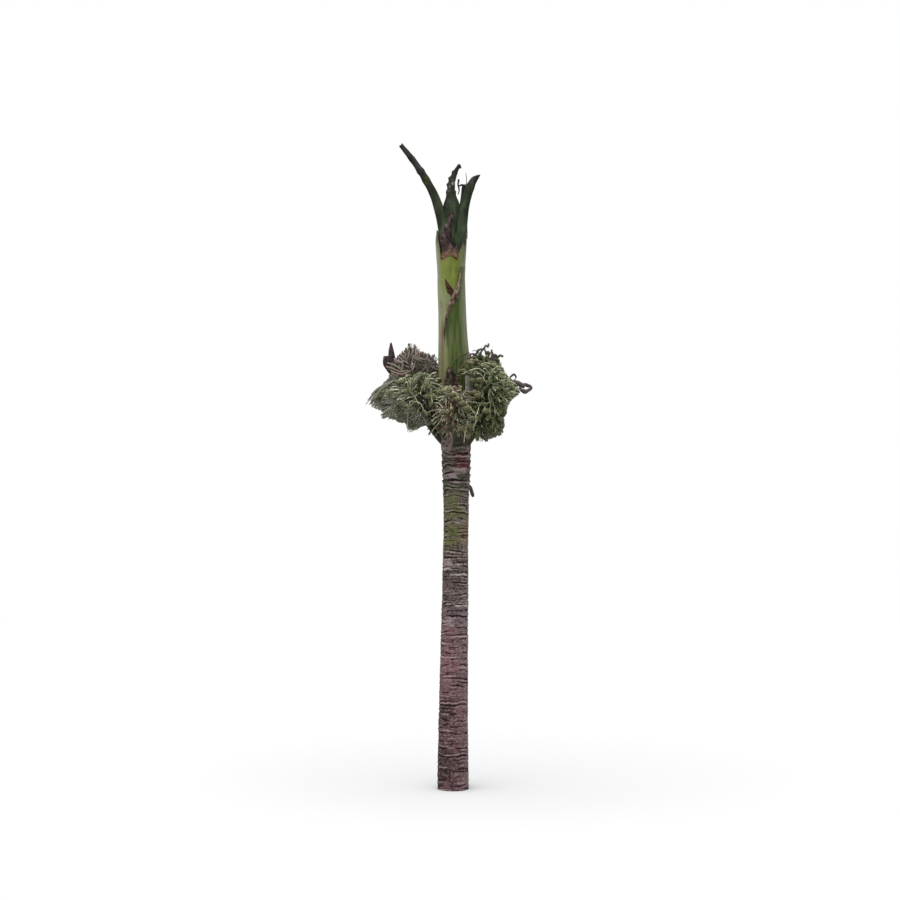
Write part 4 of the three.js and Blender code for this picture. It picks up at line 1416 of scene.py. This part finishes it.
# Long threads in front of the clusters: colour, places along them where fruits hang, points
LONG_THREADS = [
    ("pink", (), [[-508, -140, 3143], [-457, -140, 3130], [-398, -140, 3104], [-339, -140, 3113]]),
    ("ash", (), [[-500, -140, 3173], [-449, -140, 3156], [-398, -140, 3122], [-347, -140, 3087]]),
    ("pink", (), [[-474, -140, 3113], [-423, -140, 3092], [-372, -140, 3087], [-322, -140, 3113]]),
    ("ash", (), [[-424, -140, 3229], [-390, -140, 3199], [-381, -140, 3148], [-398, -140, 3104]]),
    ("pink", (), [[-449, -140, 3204], [-407, -140, 3182], [-373, -140, 3186], [-339, -140, 3165]]),
    ("straw", (), [[104, -90, 3252], [75, -128, 3243], [23, -140, 3209],
                   [-11, -142, 3156], [-20, -142, 3108]]),
    ("straw", (), [[100, -100, 3262], [56, -136, 3195], [42, -138, 3137], [46, -140, 3079]]),
    ("rust", (), [[122, -70, 3215], [84, -120, 3166], [61, -134, 3132], [75, -136, 3100]]),
    ("rust", (), [[-34, -290, 2880], [-28, -350, 2830], [-38, -370, 2760], [-34, -360, 2700]]),
    ("rust", (), [[-16, -290, 2885], [-8, -355, 2825], [-16, -375, 2760], [-24, -360, 2705]]),
    ("rust", (), [[0, -290, 2880], [8, -350, 2820], [0, -375, 2755], [-6, -360, 2700]]),
    ("pink", (), [[-206, -200, 3050], [-184, -215, 3062], [-149, -225, 3038], [-132, -225, 3000]]),
    ("pink", (), [[-197, -210, 3036], [-193, -250, 2962], [-182, -330, 2872], [-167, -390, 2792]]),
    ("pale", (0.8,), [[-173, -210, 3041], [-163, -260, 2979], [-165, -340, 2899], [-151, -400, 2823]]),
    ("pale", (0.2, 0.42, 0.62, 0.8), [[-4, -340, 2917], [51, -400, 2855],
                                      [108, -410, 2802], [166, -400, 2730]]),
    ("pale", (0.3, 0.9), [[166, -400, 2730], [168, -400, 2683], [148, -380, 2640]]),
    ("pale", (0.4,), [[108, -380, 2688], [99, -370, 2641], [87, -300, 2595], [82, -220, 2550]]),
    ("sage", (0.1, 0.4), [[168, -330, 2990], [218, -390, 2993], [282, -400, 2967], [337, -390, 2955]]),
    ("pale", (0.25,), [[219, -200, 3154], [245, -250, 3095], [230, -300, 3029], [201, -330, 2985]]),
    ("sage", (0.9,), [[273, -380, 2929], [263, -400, 2860], [276, -400, 2804], [272, -390, 2731]]),
    ("sage", (0.35, 0.6), [[-165, -300, 2910], [-130, -330, 2880], [-95, -350, 2830]]),
    ("sage", (0.5, 0.75), [[150, -360, 2925], [195, -380, 2895], [235, -385, 2850]]),
    ("pale", (0.6,), [[-469, -300, 2934], [-383, -350, 2925], [-298, -390, 2890], [-252, -390, 2806]]),
    ("pale", (), [[-337, -330, 2778], [-290, -370, 2832], [-243, -380, 2821], [-202, -350, 2738]]),
    ("pale", (), [[-324, -300, 2821], [-334, -290, 2747], [-341, -250, 2659]]),
]
LONG_THREAD_FRUIT = Sizes(way=unit(np.array([-0.85, -0.4, 0.05])), size=1.1)

# Tufts that hang out at the left: colours, points of their route, number of threads, spread at the end
TUFTS = [
    (("ash", "sage"), [[-440, -150, 3038], [-561, -150, 2961], [-640, -150, 2850]], 18, 24),
    (("ash", "pale"), [[-333, -150, 2884], [-454, -150, 2823], [-526, -150, 2762]], 16, 26),
    (("sage", "pale"), [[-242, -150, 2807], [-287, -150, 2716], [-322, -150, 2650]], 14, 26),
]
TUFT = Sizes(lengths=(0.75, 1.0), seed=6)
COLLAR_FIBRES = Sizes(
    count=110,
    top=2700,
    drop=60,
    lengths=(50, 150),
    stand_off=(-2, 5),
    sway=9,
    sway_turn=2.5,
    sway_starts=(0, 6),
    sink=2,
    lift=1,
    left=("pink", "ash"),
    right=("straw", "umber"),
    seed=5,
)


def as_seen(points):
    """Points brought along the eye's rays to the plane of the trunk's axis."""
    eye = np.array(CAMERA.place)
    share = eye[1] / (eye[1] - points[..., 1])
    return eye + (points - eye) * share[..., None]


def in_opening(points):
    x, _, z = np.moveaxis(as_seen(points), -1, 0)
    inside = np.zeros(x.shape, bool)
    for gap in OPENINGS:
        across = (x > gap.x[0]) & (x < gap.x[1])
        upright = (z > gap.z[0]) & (z < gap.z[1])
        inside |= across & upright & (points[..., 1] < gap.back)
    return inside


class Space:
    """The rounded mass inside a wedge of azimuth that a cluster keeps to."""

    box = np.array(cad_box) / MM

    def __init__(self, spec):
        low, high = spec.levels
        self.spec = spec
        self.depth = CLUSTER.depth_share * spec.reach
        self.radius = spec.reach - self.depth
        self.z = (low + high) / 2
        self.rise = (high - low) / 2

    def holds(self, points, margin, loose):
        """Whether points lie in the mass by a margin. They may leave the wedge by some loose degrees."""
        x, y, z = np.moveaxis(points, -1, 0)
        x = x - axis_x(z)
        radius = np.hypot(x, y)
        turn = np.degrees(np.arctan2(y, x)) - self.spec.azimuth
        wedged = np.abs((turn + 180) % 360 - 180) < self.spec.half + loose
        inner = np.maximum(TRUNK.collar_radius, shaft_radius(z)) + CLUSTER.shaft_gap
        out = np.maximum((radius + margin - self.radius) / self.depth, 0)
        up = (np.abs(z - self.z) + margin) / self.rise
        shoulder = np.where(x < 0, SHOULDER.left, SHOULDER.right)
        clear = (radius - margin > inner) & (z + margin - shoulder < radius - inner)
        seen_x, _, seen_z = np.moveaxis(as_seen(points), -1, 0)
        heights, left, right = np.transpose(OUTLINE)
        inside_left = seen_x - margin > np.interp(seen_z, heights, left)
        inside_right = seen_x + margin < np.interp(seen_z, heights, right)
        boxed = np.all((points - margin > self.box[0]) & (points + margin < self.box[1]), axis=-1)
        return boxed & clear & inside_left & inside_right & wedged & (out**2 + up**2 < 1)

    def aim(self, angle, side, size):
        """A point at an angle up from level, to one side, and at a share of the way to the surface."""
        turn = np.radians(angle)
        radius = self.radius + self.depth * size * np.cos(turn)
        return around(radius, self.spec.azimuth + side, self.z + self.rise * size * np.sin(turn))


def near(middle, share, draw):
    """A number drawn about a middle one, off it by up to a share."""
    return middle * (1 + share * (2 * draw() - 1))


def stem_curve(space, foot):
    azimuth = space.spec.azimuth
    start = around(TRUNK.collar_radius / 2, azimuth, foot - STEM.radius)
    bend = around(space.radius * STEM.bend_out, azimuth, lerp(foot, space.z, STEM.bend_up))
    return start, bend, space.aim(-90, 0, STEM.end_drop)


def boughs_of(space, stem, draw):
    """Boughs leave the outer half of the stem and fan out towards the surface of the mass."""
    spec = space.spec
    boughs = []
    for index in range(BOUGH.count):
        share = index / (BOUGH.count - 1)
        angle = lerp(*spec.fan, share) + BOUGH.wander * (draw() - 0.5)
        side = (1 if index % 2 else -1) * spec.half * BOUGH.side * near(*BOUGH.side_spread, draw)
        tip = space.aim(angle, side, near(BOUGH.size, BOUGH.size_spread, draw))
        start = bezier(*stem, lerp(1, BOUGH.first_root, abs(2 * share - 1)))
        bend = lerp(start, tip, BOUGH.bend_at) + BOUGH.lift * np.linalg.norm(tip - start) * UP
        boughs.append(Sizes(angle=angle, side=side, curve=(start, bend, tip)))
    return boughs


def twigs_of(space, bough, draw):
    """Twigs leave a bough in turn below and above, and to either side."""
    twigs = []
    for index in range(TWIG.count):
        share = index / (TWIG.count - 1)
        start = bezier(*bough.curve, lerp(*TWIG.roots, share))
        turn = near(TWIG.turn_share * TWIG.turn, TWIG.turn_spread, draw)
        angle = bough.angle + (turn if index % 2 else -turn)
        across = -np.sign(bough.side) * TWIG.sides[index % 2] * TWIG.side_reach * draw()
        size = near(lerp(*TWIG.sizes, share), TWIG.size_spread, draw)
        tip = space.aim(angle, bough.side + space.spec.half * across, size)
        twigs.append((start, (start + tip) / 2, tip))
    return twigs


def threads_of(space, curve, count, habit, rng):
    """Fine wavy flowering twigs in a brush round a limb, shortened until they stay in the mass."""
    count = int(count * habit.dense)
    share = (np.arange(count) + 0.5) / count
    t = lerp(habit.first, 1.0, share)[:, None]
    roots = bezier(*curve, t[:, 0])
    forward = unit((1 - t) * (curve[1] - curve[0]) + t * (curve[2] - curve[1]))
    tangent = around(1, space.spec.azimuth + 90, 0) - around(0, 0, 0)
    over = unit(np.cross(forward, tangent if habit.flat else rng.normal(size=3)))
    across = np.cross(forward, over)
    turn = np.radians((180 if habit.flat else GOLDEN_ANGLE) * np.arange(count))[:, None]
    opening = np.radians(lerp(*habit.opening, share) * rng.uniform(*THREAD.openness, count))[:, None]
    way = np.cos(opening) * forward + np.sin(opening) * (np.cos(turn) * over + np.sin(turn) * across)
    reach = rng.uniform(*habit.reach, (count, 1))
    shrink, rounds = habit.trim
    for _ in range(rounds):
        inside = space.holds(roots + reach * (way - habit.droop * UP), THREAD.tip_radius, THREAD.loose)
        reach = np.where(inside[:, None], reach, shrink * reach)
    tips = roots + reach * (way - habit.droop * UP)
    bends = roots + THREAD.bend * reach * way
    lines = bezier(roots[:, None], bends[:, None], tips[:, None], THREAD_STEPS)
    lines = lines[space.holds(tips, THREAD.tip_radius, THREAD.loose) & ~in_opening(lines).any(axis=1)]
    sway = unit(rng.normal(size=(len(lines), 1, 3)))
    phase = rng.uniform(0, 2 * np.pi, (len(lines), 1))
    wave = np.sin(2 * np.pi * THREAD.waves * THREAD_STEPS + phase) * np.minimum(3 * THREAD_STEPS, 1)
    return lines + habit.wave * wave[..., None] * sway


def fruits_on(space, lines, taken, bearing, rng):
    """Base, direction and size of the fruits along some threads, clear of those already there."""
    found = []
    for line, place in itertools.product(lines, FRUIT.places):
        if rng.random() > bearing:
            continue
        index = int(place * (len(line) - 1))
        base = line[index]
        forward = unit(line[index] - line[index - 2])
        out = unit((base - around(0, 0, base[2])) * [1, 1, 0])
        astray = rng.normal(scale=FRUIT.astray, size=3)
        way = unit(FRUIT.along * forward + FRUIT.out * out + astray - FRUIT.sag * UP)
        size = rng.uniform(*FRUIT.sizes)
        ends = base + way * FRUIT.length * size * np.array([[0.5], [1.0]])
        if in_opening(ends).any() or not space.holds(ends, FRUIT.margin, THREAD.loose).all():
            continue
        if taken and np.min(np.linalg.norm(np.array(taken) - ends[0], axis=1)) < FRUIT.spacing:
            continue
        taken.append(ends[0])
        found.append((base, way, size))
    return found


def egg_shapes(fruits, outline):
    """Turned forms on each fruit's axis. The outline gives shares of the length and of the radius."""
    base, way, size = map(np.array, zip(*fruits))
    lengths = (outline[:, 0] * FRUIT.length)[None, :, None] * size[:, None, None]
    radii = outline[:, 1] * FRUIT.radius * size[:, None]
    return tubes(base[:, None] + way[:, None] * lengths, radii, FRUIT.sides)


def fruit_outline():
    share = (1 - np.cos(np.linspace(FRUIT.foot, 1, FRUIT.rings) * np.pi)) / 2
    radius = np.sin(np.pi * share**FRUIT.taper) ** FRUIT.roundness
    radius[-1] = FRUIT.tip
    return np.stack([share, radius], -1)


def kept_part(space, curve):
    """A limb cut short where it leaves the outline or meets an opening."""
    line = bezier(*curve, LIMB.cuts)
    inside = space.holds(line, 2 * THREAD.radius, LIMB.loose) & ~in_opening(line)
    share = LIMB.cuts[np.argmin(np.append(inside[1:], False))]
    start, bend, _ = curve
    return start, lerp(start, bend, share), bezier(*curve, share)


def limb(curve, radius, tip_radius, sides, rough, seed):
    """One limb as a solid with a lumpy surface."""
    t = np.linspace(0, 1, LIMB.steps)
    line = bezier(*curve, t)
    points, faces, marks = tubes(line[None], lerp(radius, tip_radius, t)[None], sides)
    middle = np.vstack([np.repeat(line, sides, axis=0), line[:1], line[-1:]])
    grow = 1 + rough * crumpled(points, 26, 9, seed)
    return middle + (points - middle) * grow[:, None], faces, marks


def grow_sprays(space, stem, threads, fruits):
    """A cluster's boughs and twigs as solids. Their threads and fruits are dealt out by colour."""
    spec = space.spec
    draw = random_from(spec.seed)
    rng = np.random.default_rng(spec.seed)
    taken = []
    solids = []
    for bough in boughs_of(space, stem, draw):
        twigs = [twig for twig in twigs_of(space, bough, draw) if space.holds(twig[0], 0, LIMB.loose)]
        curves = [kept_part(space, curve) for curve in (bough.curve, *twigs)]
        forms = [(LIMB.bough, THREAD.on_bough)] + [(LIMB.twig, THREAD.on_twig)] * len(twigs)
        kind = KINDS[spec.side][int(np.searchsorted(KIND_ANGLES, bough.angle))]
        habit, thread_colours, fruit_colours, bearing = SPRAYS[kind]
        for curve, (form, count) in zip(curves, forms):
            solids.append(limb(curve, *form, spec.seed))
            lines = threads_of(space, curve, count, HABITS[habit], rng)
            for line in lines:
                threads[rng.choice(thread_colours)].append(line)
            for fruit in fruits_on(space, lines, taken, bearing, rng):
                fruits[rng.choice(fruit_colours)].append(fruit)
    return solids


def spike_bracts(space):
    tip = space.aim(*SPIKE.tip)
    return [
        blade(tip + np.array(route), half_widths, FRONT, crumple=6, seed=60 + index, thickness=5)
        for index, (route, half_widths) in enumerate(SPIKE_ROUTES)
    ]


def tendrils():
    t = np.linspace(0, 1, TENDRIL.steps)
    curves = [spline(points, t) for _, points in TENDRILS]
    lines = np.array([shaken(curve, TENDRIL.shake_size, TENDRIL.shake, TENDRIL.seed) for curve in curves])
    half_widths = np.array([half_width for half_width, _ in TENDRILS])[:, None]
    return tubes(lines, half_widths * (0.9 + 0.5 * noise(lines, 24, 75)), TENDRIL.sides)


def tuft(points, count, spread, rng):
    """Threads that start together, follow a route and part towards its end."""
    lengths = rng.uniform(*TUFT.lengths, (count, 1))
    apart = rng.uniform(-1, 1, (count, 1, 3)) * spread * THREAD_STEPS[:, None]
    return spline(points, lengths * THREAD_STEPS) + apart


def collar_fibres(rng):
    """Dry fibres that hang from the foot of the clusters onto the top of the trunk."""
    fibres = COLLAR_FIBRES
    one_each = (fibres.count, 1)
    azimuth = rng.uniform(0, 360, one_each)
    length = rng.uniform(*fibres.lengths, one_each)
    bulge = rng.uniform(*fibres.stand_off, one_each) * np.sin(np.pi * THREAD_STEPS)
    z = fibres.top - rng.uniform(0, fibres.drop, one_each) - length * THREAD_STEPS
    phase = rng.uniform(*fibres.sway_starts, one_each)
    sway = fibres.sway * np.sin(fibres.sway_turn * THREAD_STEPS + phase)
    radius = np.maximum(trunk_radius(z), TRUNK.collar_radius - fibres.sink) + fibres.lift + bulge
    return around(radius, azimuth + sway, z)


def add_loose_threads(threads, fruits):
    """Fibres on the collar, long threads with their fruits, and tufts, dealt out by colour."""
    for index, line in enumerate(collar_fibres(np.random.default_rng(COLLAR_FIBRES.seed))):
        colours = COLLAR_FIBRES.left if line[-1, 0] < axis_x(line[-1, 2]) else COLLAR_FIBRES.right
        threads[colours[index % 2]].append(line)
    hung = LONG_THREAD_FRUIT
    for colour, places, points in LONG_THREADS:
        threads[colour].append(spline(points, THREAD_STEPS))
        fruits["olive"] += [(spline(points, place), hung.way, hung.size) for place in places]
    rng = np.random.default_rng(TUFT.seed)
    for colours, points, count, spread in TUFTS:
        for index, line in enumerate(tuft(points, count, spread, rng)):
            threads[colours[index % 2]].append(line)


def build_threads(threads):
    radii = lerp(THREAD.radius, THREAD.tip_radius, THREAD_STEPS)[None]
    for name, lines in threads.items():
        finish = plain_finish(f"{name}_thread", THREAD_COLOURS[name], roughness=0.7, size=12, depth=0.5)
        piece(f"threads_{name}", [tubes(lines, radii, THREAD.sides)], finish, "pale_husk")


def build_fruits(fruits):
    for name, some in fruits.items():
        finish = plain_finish(f"{name}_fruit", FRUIT_COLOURS[name], roughness=0.5, size=16, depth=0.4)
        piece(f"fruits_{name}", [egg_shapes(some, fruit_outline())], finish, "fruit")
    every = list(itertools.chain.from_iterable(fruits.values()))
    caps = plain_finish("fruit_cap", CAP_COLOURS, roughness=0.7, size=10, depth=0.4)
    piece("fruit_caps", [egg_shapes(every, CAP_OUTLINE)], caps, "pale_husk")


def build_clusters():
    stems = []
    boughs = []
    threads = {name: [] for name in THREAD_COLOURS}
    fruits = {name: [] for name in FRUIT_COLOURS}
    for index, spec in enumerate(CLUSTERS):
        space = Space(spec)
        stem = stem_curve(space, CLUSTER.foot_heights[index % 2])
        points, faces, _ = limb(stem, *LIMB.stem, spec.seed)
        stems.append((points, faces, {"pale": np.full(len(points), spec.side in PALE_STEMS)}))
        boughs += grow_sprays(space, stem, threads, fruits)
        if spec.side == SPIKE.cluster:
            piece("spike_bracts", spike_bracts(space), husk_finish("spike"), "dry_husk")
    add_loose_threads(threads, fruits)
    tendril_finish = plain_finish("tendril", TENDRIL_COLOURS, roughness=0.7, size=20, depth=0.8)
    piece("tendrils", [tendrils()], tendril_finish, "dry_husk")
    nodes = [f"cluster_{spec.side}" for spec in CLUSTERS]
    piece("fruit_stems", stems, stem_finish(), "stalk", *nodes)
    bough_finish = plain_finish("fruit_bough", BOUGH_COLOURS, roughness=0.7, size=20, depth=1.0)
    piece("fruit_boughs", boughs, bough_finish, "stalk")
    build_threads(threads)
    build_fruits(fruits)


# Studio

FLOOR_HALF = 40  # metres


def build_floor():
    mesh = bpy.data.meshes.new("floor")
    corners = [(x * FLOOR_HALF, y * FLOOR_HALF, 0) for x, y in ((-1, -1), (1, -1), (1, 1), (-1, 1))]
    mesh.from_pydata(corners, [], [(0, 1, 2, 3)])
    finish = Finish("floor", 0.0)
    finish.shader.inputs["Base Color"].default_value = (ROOM.floor, ROOM.floor, ROOM.floor, 1.0)
    mesh.materials.append(finish.material)
    new_object("floor", mesh)


def build_lights():
    world = bpy.data.worlds.new("studio")
    world.use_nodes = True
    background = world.node_tree.nodes["Background"]
    background.inputs["Color"].default_value = (1.0, 1.0, 1.0, 1.0)
    background.inputs["Strength"].default_value = ROOM.sky
    bpy.context.scene.world = world
    sun = bpy.data.lights.new("overhead", "SUN")
    sun.energy = ROOM.sun
    sun.angle = math.radians(ROOM.sun_spread)
    lamp = new_object("overhead", sun)
    lamp.rotation_euler = (math.radians(ROOM.sun_tilt), math.radians(ROOM.sun_turn), 0)


def build_camera():
    data = bpy.data.cameras.new("camera")
    data.lens = CAMERA.lens
    data.sensor_width = CAMERA.sensor
    camera = new_object("camera", data)
    camera.location = [MM * value for value in CAMERA.place]
    camera.rotation_euler = (math.radians(90 + CAMERA.tilt), 0, 0)
    bpy.context.scene.camera = camera
    bpy.context.scene.view_settings.view_transform = "Standard"


build_camera()
build_floor()
build_lights()
build_trunk()
build_shaft()
build_bracts()
build_stalks()
build_clusters()
